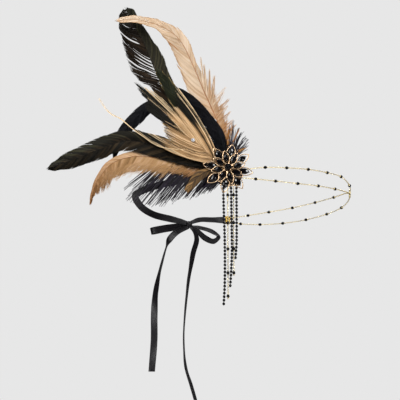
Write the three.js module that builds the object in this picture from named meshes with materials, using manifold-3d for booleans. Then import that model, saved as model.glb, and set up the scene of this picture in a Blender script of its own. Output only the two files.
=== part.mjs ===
import * as THREE from 'three';
import { mergeVertices } from 'three/addons/utils/BufferGeometryUtils.js';
import Module from 'manifold-3d';

const wasm = await Module();
wasm.setup();
const { Manifold, Mesh: SolidMesh } = wasm;

// Feather headband, in millimetres. +Z is up, -Y is the side with the brooch, +X is the wearer's front.
// The origin is the middle of the loop that goes round the head.

// Sizes of the brooch
const BROOCH_X = -13.8;
const BROOCH_Z = 0.3;
const BROOCH_BACK_Y = -91.2;
const PETALS_IN_RING = 8;
const PETAL_STEPS_PER_SIDE = 6;
const PETAL_THICKNESS = 1;
const PETAL_RIM = 0.9;
const HANGER_RADIUS = 0.7;
const HANGER_DEPTH = -0.2;
const HUB_RADIUS = 9;
const HUB_THICKNESS = 1.2;
const COLUMN_RADIUS = 2.9;
const COLUMN_TOP = 5.8;
const POST_RADIUS = 2.6;
const HANGER_Z = -14.2;
const HANGER_LEFT_X = -18.6;
const HANGER_RIGHT_X = -4;

// One row for each ring of petals: lengths run outward from the middle, depths run forward from the back
const PETAL_RINGS = [
  {
    name: 'outer', turn: 79.6, inner: 7.5, tip: 21.6, half: 3.6, depth: 0.4,
    seat: 14.3, length: 4.3, width: 2.2,
  },
  {
    name: 'inner', turn: 102.1, inner: 2.4, tip: 14.9, half: 3.0, depth: 3.7,
    seat: 8.4, length: 3.8, width: 1.9,
  },
];
const STONE_CROWN = 1.4;
const STONE_TABLE = 0.55;
const CLUSTER_STONES = 6;
const CLUSTER_RADIUS = 2.25;
const CLUSTER_STONE_RADIUS = 0.95;
const CLUSTER_MIDDLE_RADIUS = 1.2;

// Sizes of the backing and the small gap between pieces
const BACKING_RADIUS = 13;
const BACKING_REAR_Y = -79.5;
const BACKING_THICKNESS = 2;
const GAP = 0.3;

// Sizes of the feathers
const SHAFT_HALF_THICKNESS = 0.6;
const EDGE_HALF_THICKNESS = 0.3;
const LOCK_HALF_WIDTH = 1.7;
const LOCK_HALF_THICKNESS = 0.24;
const QUILL_START = POST_RADIUS + GAP + 0.1;

// Sizes of the beads and chains
const BEAD_SIDES = 10;
const STRING_BEAD_RADIUS = 1.08;
const STRING_NECK_RADIUS = 0.42;
const STRING_PITCH = 3.05;
const CHAIN_RADIUS = 0.5;
const STATION_RADIUS = 1.3;
const STATION_HALF_LENGTH = 1.35;

// Sizes of the ribbon
const RIBBON_WIDTH = 6.3;
const RIBBON_THICKNESS = 1;

const FRONT = new THREE.Vector3(0, -1, 0);

const MATERIALS = {
  gold: { color: 0xc9a45a, metalness: 1, roughness: 0.28 },
  jet: { color: 0x0b0b0e, metalness: 0, roughness: 0.08 },
  crystal: { color: 0xe8ecf0, metalness: 0, roughness: 0.05 },
  felt: { color: 0x141416, metalness: 0, roughness: 0.95 },
  green_black: { color: 0x22241a, metalness: 0, roughness: 0.45 },
  blue_black: { color: 0x0c0c14, metalness: 0, roughness: 0.45 },
  peach: { color: 0xd8b48c, metalness: 0, roughness: 0.7 },
  golden: { color: 0xc6a473, metalness: 0, roughness: 0.7 },
  ochre: { color: 0x8c6c3c, metalness: 0, roughness: 0.7 },
  down: { color: 0x0a0a0c, metalness: 0, roughness: 0.8 },
  satin: { color: 0x1a191d, metalness: 0, roughness: 0.4 },
};

const group = new THREE.Group();

function vec(x, y, z) {
  return new THREE.Vector3(x, y, z);
}

// Surface through rings of equal count, closed at both ends or round on itself
function loft(rings, round = false) {
  const count = rings[0].length;
  const positions = [];
  for (const ring of rings) {
    for (const point of ring) {
      positions.push(point.x, point.y, point.z);
    }
  }
  const index = [];
  const bands = round ? rings.length : rings.length - 1;
  for (let band = 0; band < bands; band += 1) {
    const low = band * count;
    const high = ((band + 1) % rings.length) * count;
    for (let side = 0; side < count; side += 1) {
      const next = (side + 1) % count;
      index.push(low + side, low + next, high + next);
      index.push(low + side, high + next, high + side);
    }
  }
  if (!round) {
    const last = (rings.length - 1) * count;
    for (let side = 1; side < count - 1; side += 1) {
      index.push(0, side + 1, side);
      index.push(last, last + side, last + side + 1);
    }
  }
  const geometry = new THREE.BufferGeometry();
  geometry.setAttribute('position', new THREE.Float32BufferAttribute(positions, 3));
  geometry.setIndex(index);
  return faceOut(geometry);
}

// Turns a closed surface so that its faces look outward
function faceOut(geometry) {
  const place = geometry.getAttribute('position');
  const index = geometry.getIndex().array;
  let volume = 0;
  for (let k = 0; k < index.length; k += 3) {
    const a = new THREE.Vector3().fromBufferAttribute(place, index[k]);
    const b = new THREE.Vector3().fromBufferAttribute(place, index[k + 1]);
    const c = new THREE.Vector3().fromBufferAttribute(place, index[k + 2]);
    volume += a.dot(b.cross(c));
  }
  if (volume < 0) {
    for (let k = 0; k < index.length; k += 3) {
      const swap = index[k + 1];
      index[k + 1] = index[k + 2];
      index[k + 2] = swap;
    }
  }
  return geometry;
}

function solid(geometry) {
  const bare = new THREE.BufferGeometry();
  bare.setAttribute('position', geometry.getAttribute('position'));
  bare.setIndex(geometry.getIndex());
  const welded = mergeVertices(bare, 1e-4);
  return new Manifold(new SolidMesh({
    numProp: 3,
    vertProperties: Float32Array.from(welded.getAttribute('position').array),
    triVerts: Uint32Array.from(welded.getIndex().array),
  }));
}

function geometryOf(manifold) {
  const mesh = manifold.getMesh();
  const geometry = new THREE.BufferGeometry();
  geometry.setAttribute('position', new THREE.Float32BufferAttribute(mesh.vertProperties, 3));
  geometry.setIndex(Array.from(mesh.triVerts));
  return geometry;
}

function fuse(geometries) {
  return geometryOf(Manifold.union(geometries.map(solid)));
}

function add(name, geometry, material) {
  const look = new THREE.MeshStandardMaterial({ name: material, ...MATERIALS[material] });
  const mesh = new THREE.Mesh(geometry, look);
  mesh.name = name;
  group.add(mesh);
}

// Ring of points round a centre, spanned by two directions
function ringAt(centre, first, second, radiusFirst, radiusSecond, sides) {
  const ring = [];
  for (let side = 0; side < sides; side += 1) {
    const angle = (2 * Math.PI * side) / sides;
    ring.push(centre.clone()
      .addScaledVector(first, radiusFirst * Math.cos(angle))
      .addScaledVector(second, radiusSecond * Math.sin(angle)));
  }
  return ring;
}

// Straight round bar between two points
function bar(from, to, radius, sides) {
  const along = to.clone().sub(from).normalize();
  const helper = Math.abs(along.z) > 0.9 ? vec(1, 0, 0) : vec(0, 0, 1);
  const first = helper.clone().cross(along).normalize();
  const second = along.clone().cross(first);
  return loft([from, to].map((end) => ringAt(end, first, second, radius, radius, sides)));
}

// Wire bent into a closed flat loop
function wireLoop(points, normal, radius, sides) {
  const rings = points.map((point, k) => {
    const after = points[(k + 1) % points.length];
    const before = points[(k + points.length - 1) % points.length];
    const along = after.clone().sub(before).normalize();
    const side = along.clone().cross(normal).normalize();
    return ringAt(point, side, normal, radius, radius, sides);
  });
  return loft(rings, true);
}

// Brooch: places are given by the distance outward, sideways and forward on a petal turned by an angle
function onBrooch(turn, outward, sideways, forward) {
  const angle = THREE.MathUtils.degToRad(turn);
  return vec(
    BROOCH_X + outward * Math.cos(angle) - sideways * Math.sin(angle),
    BROOCH_BACK_Y - forward,
    BROOCH_Z + outward * Math.sin(angle) + sideways * Math.cos(angle),
  );
}

function leafHalfWidth(share, half) {
  return half * 4 * share * (1 - share);
}

// Leaf-shaped petal with an open tip past the stone
function petalPlate(ring, turn) {
  const length = ring.tip - ring.inner;
  const inset = (outward) => leafHalfWidth((outward - ring.inner) / length, ring.half) - PETAL_RIM;
  const outline = [];
  for (let step = 0; step < 2 * PETAL_STEPS_PER_SIDE; step += 1) {
    const back = step > PETAL_STEPS_PER_SIDE;
    const count = back ? 2 * PETAL_STEPS_PER_SIDE - step : step;
    const share = 0.5 - 0.5 * Math.cos((Math.PI * count) / PETAL_STEPS_PER_SIDE);
    const sideways = leafHalfWidth(share, ring.half) * (back ? -1 : 1);
    outline.push(new THREE.Vector2(ring.inner + share * length, sideways));
  }
  const stoneEnd = ring.seat + ring.length;
  const gap = [
    new THREE.Vector2(stoneEnd + 0.2, 0),
    new THREE.Vector2(stoneEnd - 1.1, -inset(stoneEnd - 1.1)),
    new THREE.Vector2(stoneEnd + 0.7, -inset(stoneEnd + 0.7)),
    new THREE.Vector2(ring.tip - 2 * PETAL_RIM, 0),
    new THREE.Vector2(stoneEnd + 0.7, inset(stoneEnd + 0.7)),
    new THREE.Vector2(stoneEnd - 1.1, inset(stoneEnd - 1.1)),
  ];
  const shape = new THREE.Shape(outline);
  shape.holes.push(new THREE.Path(gap));
  const plate = new THREE.ExtrudeGeometry(shape, { depth: PETAL_THICKNESS, bevelEnabled: false });
  const place = plate.getAttribute('position');
  for (let k = 0; k < place.count; k += 1) {
    const spot = onBrooch(turn, place.getX(k), place.getY(k), ring.depth + place.getZ(k));
    place.setXYZ(k, spot.x, spot.y, spot.z);
  }
  return plate;
}

// Eight corners of a marquise outline, as shares of its half length and half width
const MARQUISE_CORNERS = [
  { along: 1, across: 0 },
  { along: 0.55, across: 0.7 },
  { along: 0, across: 1 },
  { along: -0.55, across: 0.7 },
  { along: -1, across: 0 },
  { along: -0.55, across: -0.7 },
  { along: 0, across: -1 },
  { along: 0.55, across: -0.7 },
];

function marquiseRing(ring, turn, scale, forward) {
  return MARQUISE_CORNERS.map((corner) => onBrooch(
    turn,
    ring.seat + corner.along * ring.length * scale,
    corner.across * ring.width * scale,
    forward,
  ));
}

function marquiseStone(ring, turn) {
  const rear = ring.depth + PETAL_THICKNESS + GAP;
  return loft([
    marquiseRing(ring, turn, 1, rear),
    marquiseRing(ring, turn, STONE_TABLE, rear + STONE_CROWN),
  ]);
}

// Round cut stone on the brooch, standing on a plate
function roundStone(turn, outward, radius, rear, height, sides) {
  const sections = [
    { scale: 1, rise: 0 },
    { scale: STONE_TABLE, rise: 1 },
  ];
  return loft(sections.map((section) => ringAt(
    onBrooch(turn, outward, 0, rear + section.rise * height),
    vec(1, 0, 0),
    vec(0, 0, 1),
    radius * section.scale,
    radius * section.scale,
    sides,
  )));
}

function discOnBrooch(radius, rear, front, sides) {
  return bar(onBrooch(0, 0, 0, rear), onBrooch(0, 0, 0, front), radius, sides);
}

function makeBrooch() {
  const backingFront = BACKING_REAR_Y - BACKING_THICKNESS;
  const postDepth = BROOCH_BACK_Y - (backingFront - GAP);
  const hangerY = BROOCH_BACK_Y - HANGER_DEPTH;
  const pieces = [
    discOnBrooch(HUB_RADIUS, 0, HUB_THICKNESS, 20),
    discOnBrooch(COLUMN_RADIUS, HUB_THICKNESS / 2, COLUMN_TOP, 12),
    discOnBrooch(POST_RADIUS, postDepth, HUB_THICKNESS / 2, 12),
    bar(vec(HANGER_LEFT_X, hangerY, HANGER_Z), vec(HANGER_RIGHT_X, hangerY, HANGER_Z), HANGER_RADIUS, 6),
  ];
  for (const ring of PETAL_RINGS) {
    for (let k = 0; k < PETALS_IN_RING; k += 1) {
      const turn = ring.turn - (360 * k) / PETALS_IN_RING;
      pieces.push(petalPlate(ring, turn));
      add(`stone_${ring.name}_${k + 1}`, marquiseStone(ring, turn), 'jet');
    }
  }
  add('brooch_frame', fuse(pieces), 'gold');

  const clusterRear = COLUMN_TOP + GAP;
  const cluster = [
    discOnBrooch(CLUSTER_RADIUS + 0.6, clusterRear, clusterRear + 0.5, 12),
    roundStone(0, 0, CLUSTER_MIDDLE_RADIUS, clusterRear + 0.3, 2, 10),
  ];
  for (let k = 0; k < CLUSTER_STONES; k += 1) {
    const turn = (360 * k) / CLUSTER_STONES;
    cluster.push(roundStone(turn, CLUSTER_RADIUS, CLUSTER_STONE_RADIUS, clusterRear + 0.3, 1.4, 8));
  }
  add('centre_stones', fuse(cluster), 'jet');
}

function makeBacking() {
  const rear = vec(BROOCH_X, BACKING_REAR_Y, BROOCH_Z);
  const front = vec(BROOCH_X, BACKING_REAR_Y - BACKING_THICKNESS, BROOCH_Z);
  add('felt_backing', bar(rear, front, BACKING_RADIUS, 28), 'felt');
}

// Feathers: each table has a row for each station of the shaft, with the width of the vane on its left
// and right as seen from the front with the tip up. The first row of each is the end of the quill, set
// round the post of the brooch at an angle and in a layer.
const FEATHERS = [
  {
    name: 'coque_tall', material: 'green_black', angle: 122, layer: -86.2, steps: 15,
    stations: [
      { x: -24, y: -86.3, z: 13.5, left: 0.9, right: 0.9 },
      { x: -37.8, y: -86.4, z: 29.5, left: 4, right: 4 },
      { x: -50, y: -86.4, z: 45, left: 8, right: 7 },
      { x: -62, y: -86, z: 63, left: 14, right: 7.5 },
      { x: -76.9, y: -85, z: 90.8, left: 18, right: 10.5 },
      { x: -88.2, y: -83, z: 119.4, left: 15, right: 7 },
      { x: -96, y: -81.5, z: 134, left: 12, right: 6.8 },
      { x: -101.6, y: -80.3, z: 146, left: 8.5, right: 6.5 },
      { x: -104, y: -80, z: 151, left: 1.5, right: 1.5 },
    ],
    notches: [
      { at: 0.9, side: -1, depth: 9, mouth: 2.6 },
      { at: 0.7, side: -1, depth: 11, mouth: 3.2 },
    ],
  },
  {
    name: 'peach_tall', material: 'peach', angle: 96, layer: -82.8, steps: 17,
    stations: [
      { x: -15.5, y: -82.8, z: 16, left: 0.9, right: 0.9 },
      { x: -19, y: -82.7, z: 32, left: 2, right: 8 },
      { x: -23.5, y: -82.5, z: 47, left: 5, right: 10.5 },
      { x: -33.5, y: -82.2, z: 70.5, left: 14, right: 10 },
      { x: -43.9, y: -83.4, z: 96, left: 11, right: 8.5 },
      { x: -54.5, y: -86, z: 117, left: 9, right: 6.5 },
      { x: -64, y: -87.4, z: 126, left: 7, right: 6 },
      { x: -76, y: -88.5, z: 131.8, left: 5, right: 5 },
      { x: -94.6, y: -89.5, z: 136, left: 3.4, right: 3.4 },
      { x: -112.3, y: -89, z: 134.8, left: 0.6, right: 0.6 },
    ],
    locks: { side: 1, from: 0.16, to: 0.5, count: 9, reach: 21, lean: 40, bend: 3 },
  },
  {
    name: 'coque_left', material: 'green_black', angle: 168, layer: -87.9, steps: 14,
    stations: [
      { x: -29, y: -87.9, z: 4.6, left: 0.9, right: 0.9 },
      { x: -45, y: -87.8, z: 9.5, left: 6.5, right: 7 },
      { x: -55, y: -87.7, z: 13, left: 8, right: 8.5 },
      { x: -80.8, y: -87.6, z: 23, left: 9.8, right: 9.5 },
      { x: -102.4, y: -87.2, z: 26.4, left: 9, right: 9 },
      { x: -124, y: -85.5, z: 19.3, left: 8.5, right: 8.5 },
      { x: -149.9, y: -82, z: 10, left: 7, right: 7 },
      { x: -163, y: -80, z: 5.8, left: 4, right: 4 },
      { x: -170.6, y: -79, z: 3.3, left: 0.6, right: 0.6 },
    ],
    notches: [
      { at: 0.84, side: 1, depth: 5, mouth: 1.8 },
      { at: 0.72, side: 1, depth: 5, mouth: 1.6 },
    ],
  },
  {
    name: 'peach_left', material: 'peach', angle: 186, layer: -86.2, steps: 16,
    stations: [
      { x: -31, y: -86.1, z: 1.4, left: 0.9, right: 0.9 },
      { x: -45, y: -85.8, z: 4.5, left: 6, right: 3 },
      { x: -60, y: -85.4, z: 8.5, left: 10, right: 5 },
      { x: -76.5, y: -85.2, z: 12, left: 13, right: 6 },
      { x: -97.9, y: -85.2, z: 12.4, left: 14, right: 6.5 },
      { x: -114, y: -85.6, z: 6, left: 12, right: 5.5 },
      { x: -124.6, y: -86.2, z: -7, left: 7, right: 4.5 },
      { x: -130, y: -86.2, z: -20, left: 4, right: 3 },
      { x: -131.8, y: -86, z: -31, left: 0.6, right: 0.6 },
    ],
    locks: { side: -1, from: 0.3, to: 0.8, count: 12, reach: 24, lean: 55, bend: 3 },
  },
  {
    name: 'coque_sickle', material: 'blue_black', angle: 134, layer: -82.9, steps: 16,
    stations: [
      { x: -27, y: -82.9, z: 16.6, left: 0.9, right: 0.9 },
      { x: -42, y: -82.6, z: 37.5, left: 3.5, right: 3 },
      { x: -54, y: -82, z: 53, left: 4.5, right: 4 },
      { x: -64, y: -81.2, z: 61.5, left: 5, right: 4.5 },
      { x: -81, y: -79.8, z: 60, left: 5, right: 4.5 },
      { x: -92.5, y: -78.5, z: 50.5, left: 4.6, right: 4.4 },
      { x: -103, y: -77.5, z: 38.5, left: 4, right: 4 },
      { x: -109.6, y: -77, z: 25, left: 3, right: 3 },
      { x: -112.6, y: -77, z: 12, left: 0.6, right: 0.6 },
    ],
  },
  {
    name: 'coque_back', material: 'blue_black', angle: 106, layer: -84.5, steps: 12,
    stations: [
      { x: -16.4, y: -84.5, z: 14, left: 0.9, right: 0.9 },
      { x: -20.8, y: -84.5, z: 32, left: 8, right: 4.5 },
      { x: -31.6, y: -84.5, z: 52.5, left: 9, right: 4.5 },
      { x: -43.6, y: -84.6, z: 66, left: 6, right: 3.5 },
      { x: -52, y: -84.8, z: 72, left: 3.5, right: 2.5 },
      { x: -57, y: -85, z: 75, left: 0.6, right: 0.6 },
    ],
  },
  {
    name: 'coque_small', material: 'green_black', angle: 124, layer: -87.9, steps: 12,
    stations: [
      { x: -23.5, y: -88, z: 13.5, left: 0.9, right: 0.9 },
      { x: -37.8, y: -88.4, z: 34, left: 4.5, right: 4.5 },
      { x: -55, y: -89, z: 58.5, left: 6.5, right: 6.5 },
      { x: -66.5, y: -89, z: 77, left: 5.5, right: 5.5 },
      { x: -73, y: -88.8, z: 87, left: 3, right: 3 },
      { x: -76.2, y: -88.6, z: 92, left: 0.6, right: 0.6 },
    ],
  },
  {
    name: 'golden_hackle', material: 'golden', angle: 140, layer: -89.6, steps: 12,
    stations: [
      { x: -22, y: -89.8, z: 7.5, left: 1.2, right: 1.2 },
      { x: -38, y: -90.8, z: 22, left: 9, right: 9 },
      { x: -52, y: -91.4, z: 37, left: 14.5, right: 13.5 },
      { x: -62, y: -91.6, z: 48.5, left: 15, right: 14 },
      { x: -70, y: -91.6, z: 57, left: 11, right: 11 },
      { x: -76, y: -91.5, z: 63, left: 4, right: 4 },
    ],
    spray: { from: 0.5, reach: 40, fan: 40, count: 8 },
    wisp: [
      { x: -44, y: -91.1, z: 17 },
      { x: -72, y: -92.6, z: 19.5 },
      { x: -98, y: -93, z: 36 },
      { x: -116, y: -92.6, z: 52 },
      { x: -126, y: -92, z: 65 },
    ],
  },
  {
    name: 'ochre_hackle', material: 'ochre', angle: 192, layer: -89.6, steps: 8,
    stations: [
      { x: -22, y: -89.7, z: -0.8, left: 1, right: 1 },
      { x: -30, y: -90, z: -1, left: 3, right: 3 },
      { x: -38, y: -90.2, z: -5.4, left: 4.4, right: 4.4 },
      { x: -45, y: -90.2, z: -13.6, left: 3.2, right: 3.2 },
      { x: -50, y: -90, z: -19.6, left: 1.2, right: 1.2 },
    ],
  },
];

// Tufts of loose down: locks that spread from a short stem, with one row for each lock's tip
const TUFTS = [
  {
    name: 'black_fluff', angle: 200, layer: -84.2, stem: { x: -52, y: -83.8, z: -4 },
    locks: [
      { share: 0.95, x: -99, y: -82.5, z: -14.5 },
      { share: 1, x: -88, y: -82.2, z: -20 },
      { share: 0.9, x: -94, y: -83, z: -28 },
      { share: 0.85, x: -80, y: -82.6, z: -27 },
      { share: 0.75, x: -70, y: -82.8, z: -28 },
      { share: 0.65, x: -61, y: -82.6, z: -26.5 },
      { share: 0.5, x: -50, y: -82.8, z: -22 },
      { share: 0.4, x: -42, y: -83, z: -21 },
      { share: 0.3, x: -35, y: -83.2, z: -19 },
      { share: 0.2, x: -28, y: -83.4, z: -15.2 },
    ],
    girth: 3,
  },
  {
    name: 'black_tuft', angle: 66, layer: -84.8, stem: { x: -9, y: -84.8, z: 17 },
    locks: [
      { share: 0.7, x: -10.8, y: -84.9, z: 47 },
      { share: 0.8, x: -6.5, y: -84.7, z: 43 },
      { share: 0.9, x: -2.3, y: -84.5, z: 38 },
      { share: 0.95, x: 2, y: -84.4, z: 33.5 },
      { share: 0.9, x: 4.6, y: -84.4, z: 28 },
      { share: 0.7, x: 2.8, y: -84.6, z: 20 },
    ],
    girth: 1.7,
  },
];

function quillEnd(angle, layer) {
  const turn = THREE.MathUtils.degToRad(angle);
  return vec(BROOCH_X + QUILL_START * Math.cos(turn), layer, BROOCH_Z + QUILL_START * Math.sin(turn));
}

// Value between the rows of a table, blended smoothly
function blend(values, share) {
  const place = share * (values.length - 1);
  const low = Math.min(Math.floor(place), values.length - 2);
  const part = place - low;
  const smooth = part * part * (3 - 2 * part);
  return values[low] + (values[low + 1] - values[low]) * smooth;
}

// Thin tapering strand through a few points
function strand(points, startRadius, endRadius, steps, flat = Infinity, sides = 3) {
  const curve = new THREE.CatmullRomCurve3(points);
  const rings = [];
  for (let step = 0; step <= steps; step += 1) {
    const share = step / steps;
    const along = curve.getTangent(share);
    const side = along.clone().cross(FRONT).normalize();
    const rise = side.clone().cross(along);
    const radius = startRadius + (endRadius - startRadius) * share;
    rings.push(ringAt(curve.getPoint(share), side, rise, radius, Math.min(0.6 * radius, flat), sides));
  }
  return loft(rings);
}

// Shaft and vane of a feather as one thin blade with a ridge
function featherParts(feather) {
  const quill = quillEnd(feather.angle, feather.layer);
  const stations = [{ x: quill.x, y: quill.y, z: quill.z, left: 0.8, right: 0.8 }, ...feather.stations];
  const curve = new THREE.CatmullRomCurve3(stations.map((row) => vec(row.x, row.y, row.z)));
  const lefts = stations.map((row) => row.left);
  const rights = stations.map((row) => row.right);
  const frameAt = (share) => {
    const along = curve.getTangent(share);
    const across = along.clone().cross(FRONT).normalize();
    const face = across.clone().cross(along).normalize();
    return { point: curve.getPoint(share), along, across, face };
  };
  const rings = [];
  for (let step = 0; step <= feather.steps; step += 1) {
    const share = step / feather.steps;
    const { point, across, face } = frameAt(share);
    const left = blend(lefts, share);
    const right = blend(rights, share);
    const ridge = Math.min(SHAFT_HALF_THICKNESS, 0.3 + 0.25 * Math.max(left, right));
    const corner = (reach, rise) => point.clone()
      .addScaledVector(across, reach)
      .addScaledVector(face, rise);
    rings.push([
      corner(-left, EDGE_HALF_THICKNESS),
      corner(0, ridge),
      corner(right, EDGE_HALF_THICKNESS),
      corner(right, -EDGE_HALF_THICKNESS),
      corner(0, -ridge),
      corner(-left, -EDGE_HALF_THICKNESS),
    ]);
  }
  return { blade: loft(rings), frameAt, lefts, rights };
}

// Locks of loose barbs along one side of a vane
function sideLocks(parts, locks) {
  const pieces = [];
  for (let k = 0; k < locks.count; k += 1) {
    const share = locks.from + ((locks.to - locks.from) * k) / (locks.count - 1);
    const { point, along, across } = parts.frameAt(share);
    const lean = THREE.MathUtils.degToRad(locks.lean);
    const out = across.clone()
      .multiplyScalar(locks.side * Math.sin(lean))
      .addScaledVector(along, Math.cos(lean));
    const reach = locks.reach * (0.85 + 0.15 * Math.sin(2.4 * k));
    const tip = point.clone().addScaledVector(out, reach).addScaledVector(along, locks.bend);
    const root = point.clone().lerp(tip, 0.3);
    const middle = root.clone().lerp(tip, 0.5);
    pieces.push(strand([root, middle, tip], LOCK_HALF_WIDTH, 0.25, 1, LOCK_HALF_THICKNESS));
  }
  return pieces;
}

// Loose barbs that spread past the end of a hackle
function endSpray(parts, spray) {
  const pieces = [];
  const { point, along, across } = parts.frameAt(spray.from);
  for (let k = 0; k < spray.count; k += 1) {
    const turn = THREE.MathUtils.degToRad(spray.fan * ((2 * k) / (spray.count - 1) - 1));
    const out = along.clone().multiplyScalar(Math.cos(turn)).addScaledVector(across, Math.sin(turn));
    const reach = spray.reach * (0.9 + 0.1 * Math.sin(1.9 * k));
    const tip = point.clone().addScaledVector(out, reach);
    const root = point.clone().lerp(tip, 0.25);
    const middle = root.clone().lerp(tip, 0.5);
    pieces.push(strand([root, middle, tip], LOCK_HALF_WIDTH, 0.3, 1, LOCK_HALF_THICKNESS));
  }
  return pieces;
}

// Wedge between two barbs where a vane has split
function notchWedge(parts, notch) {
  const { point, along, across, face } = parts.frameAt(notch.at);
  const widths = notch.side > 0 ? parts.rights : parts.lefts;
  const edge = blend(widths, notch.at);
  const side = across.clone().multiplyScalar(notch.side);
  const mouth = point.clone().addScaledVector(side, edge + 1.5);
  const deep = point.clone()
    .addScaledVector(side, edge - notch.depth)
    .addScaledVector(along, -0.7 * notch.depth);
  const corners = [
    deep,
    mouth.clone().addScaledVector(along, notch.mouth),
    mouth.clone().addScaledVector(along, -notch.mouth),
  ];
  return loft([-3, 3].map((rise) => corners.map((corner) => corner.clone().addScaledVector(face, rise))));
}

function makeFeathers() {
  for (const feather of FEATHERS) {
    const parts = featherParts(feather);
    const pieces = [parts.blade];
    if (feather.locks) {
      pieces.push(...sideLocks(parts, feather.locks));
    }
    if (feather.spray) {
      pieces.push(...endSpray(parts, feather.spray));
    }
    if (feather.wisp) {
      pieces.push(strand(feather.wisp.map((row) => vec(row.x, row.y, row.z)), 0.9, 0.3, 6));
    }
    let whole = Manifold.union(pieces.map(solid));
    for (const notch of feather.notches ?? []) {
      whole = whole.subtract(solid(notchWedge(parts, notch)));
    }
    add(feather.name, geometryOf(whole), feather.material);
  }
}

function makeTufts() {
  for (const tuft of TUFTS) {
    const quill = quillEnd(tuft.angle, tuft.layer);
    const stem = vec(tuft.stem.x, tuft.stem.y, tuft.stem.z);
    const pieces = [strand([quill, stem.clone().lerp(quill, 0.5), stem], 0.9, 0.9, 1, 0.8, 4)];
    for (const lock of tuft.locks) {
      const root = quill.clone().lerp(stem, lock.share);
      const tip = vec(lock.x, lock.y, lock.z);
      const middle = root.clone().lerp(tip, 0.55).add(vec(0, 0, 1.2));
      pieces.push(strand([root, middle, tip], tuft.girth, 0.3, 2));
    }
    add(tuft.name, fuse(pieces), 'down');
  }
}

const FEATHER_STONE = { x: -43.8, y: -92, z: 25.6, radius: 1.7, height: 1.5 };

function makeFeatherStone() {
  const sections = [
    { scale: 0.75, rise: 0 },
    { scale: 1, rise: 0.4 },
    { scale: STONE_TABLE, rise: 1 },
  ];
  const rings = sections.map((section) => ringAt(
    vec(FEATHER_STONE.x, FEATHER_STONE.y - section.rise * FEATHER_STONE.height, FEATHER_STONE.z),
    vec(1, 0, 0),
    vec(0, 0, 1),
    FEATHER_STONE.radius * section.scale,
    FEATHER_STONE.radius * section.scale,
    10,
  ));
  add('feather_stone', loft(rings), 'crystal');
}

// Strings and chains: a round section whose radius follows beads set along a curve
function beaded(points, rows) {
  const curve = new THREE.CatmullRomCurve3(points, false, 'centripetal');
  curve.arcLengthDivisions = 600;
  const length = curve.getLength();
  const rings = rows(length).map((row) => {
    const share = THREE.MathUtils.clamp(row.at / length, 0, 1);
    const along = curve.getTangentAt(share);
    const helper = Math.abs(along.z) > 0.8 ? vec(1, 0, 0) : vec(0, 0, 1);
    const first = helper.clone().cross(along).normalize();
    const second = along.clone().cross(first);
    return ringAt(curve.getPointAt(share), first, second, row.radius, row.radius, BEAD_SIDES);
  });
  return loft(rings);
}

// Hanging strings of black beads, with a row for each bend of the thread
const BEAD_STRANDS = [
  {
    name: 'bead_strand_1', y: -90.3, bends: [
      { x: -17.9, z: -15.2 },
      { x: -17.6, z: -33 },
      { x: -16.8, z: -60.7 },
      { x: -16.9, z: -100 },
      { x: -17.9, z: -118.8 },
    ],
  },
  {
    name: 'bead_strand_2', y: -90.3, bends: [
      { x: -11.3, z: -15.2 },
      { x: -10.9, z: -46.3 },
      { x: -10.7, z: -71.6 },
      { x: -11.5, z: -90 },
      { x: -12.4, z: -103.2 },
    ],
  },
  {
    name: 'bead_strand_3', y: -90.3, bends: [
      { x: -6.7, z: -15.2 },
      { x: -6.6, z: -42.4 },
      { x: -6.8, z: -65 },
      { x: -7.8, z: -79 },
    ],
  },
];

// Hanging gold chains, with the drop of each black station bead below the hanger
const CHAIN_STRANDS = [
  { name: 'chain_strand_1', x: -14.1, y: -88.7, end: -113.5, drops: [-22.6, -47, -69.8, -90.7, -110.8] },
  { name: 'chain_strand_2', x: -9.15, y: -88.7, end: -92.3, drops: [-22.4, -47, -69.6, -90.6] },
];

// Gold chain rows round the front, with a row for each station bead and each end
const CHAIN_ROWS = [
  {
    name: 'chain_upper_near', rows: [
      { x: -0.6, y: -80.4, z: 2.6, bead: false },
      { x: 18.5, y: -77.8, z: 5.2, bead: true },
      { x: 37.2, y: -73.1, z: 6.1, bead: true },
      { x: 56.3, y: -64.8, z: 7, bead: true },
      { x: 73.6, y: -52.5, z: 7.4, bead: true },
      { x: 86.8, y: -37.4, z: 7.8, bead: true },
      { x: 95.8, y: -15, z: 5.6, bead: true },
      { x: 97.3, y: -4.1, z: 3.6, bead: false },
    ],
  },
  {
    name: 'chain_lower_near', rows: [
      { x: -1.5, y: -80.4, z: -4.9, bead: false },
      { x: 10.2, y: -78.8, z: -5.4, bead: true },
      { x: 27.4, y: -75.9, z: -6.5, bead: true },
      { x: 46.8, y: -69.5, z: -7, bead: true },
      { x: 65.2, y: -59.2, z: -6.4, bead: true },
      { x: 80.7, y: -45.3, z: -5.5, bead: true },
      { x: 92.2, y: -24, z: -2.6, bead: false },
      { x: 96.9, y: -4.2, z: 0.4, bead: false },
    ],
  },
  {
    name: 'chain_upper_far', rows: [
      { x: 96.7, y: 4.1, z: 3.6, bead: false },
      { x: 94, y: 19, z: 7.2, bead: false },
      { x: 85.3, y: 39.5, z: 9, bead: true },
      { x: 69, y: 56.3, z: 8.4, bead: true },
      { x: 48.5, y: 68.8, z: 6.5, bead: true },
      { x: 26.8, y: 76, z: 4.2, bead: true },
      { x: 7.2, y: 78.8, z: 1.6, bead: true },
      { x: -6.1, y: 78.8, z: -0.6, bead: false },
    ],
  },
  {
    name: 'chain_lower_far', rows: [
      { x: 97.3, y: 4.2, z: 0.4, bead: false },
      { x: 96.4, y: 15, z: -1.2, bead: false },
      { x: 91.4, y: 29, z: -3.5, bead: true },
      { x: 79.1, y: 47, z: -5, bead: true },
      { x: 60.7, y: 62.2, z: -6.6, bead: true },
      { x: 39.5, y: 72.4, z: -7.5, bead: true },
      { x: 18.4, y: 77.6, z: -7.4, bead: true },
      { x: 0.2, y: 79, z: -6.4, bead: true },
      { x: -6.1, y: 78.8, z: -5.2, bead: false },
    ],
  },
];

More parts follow.
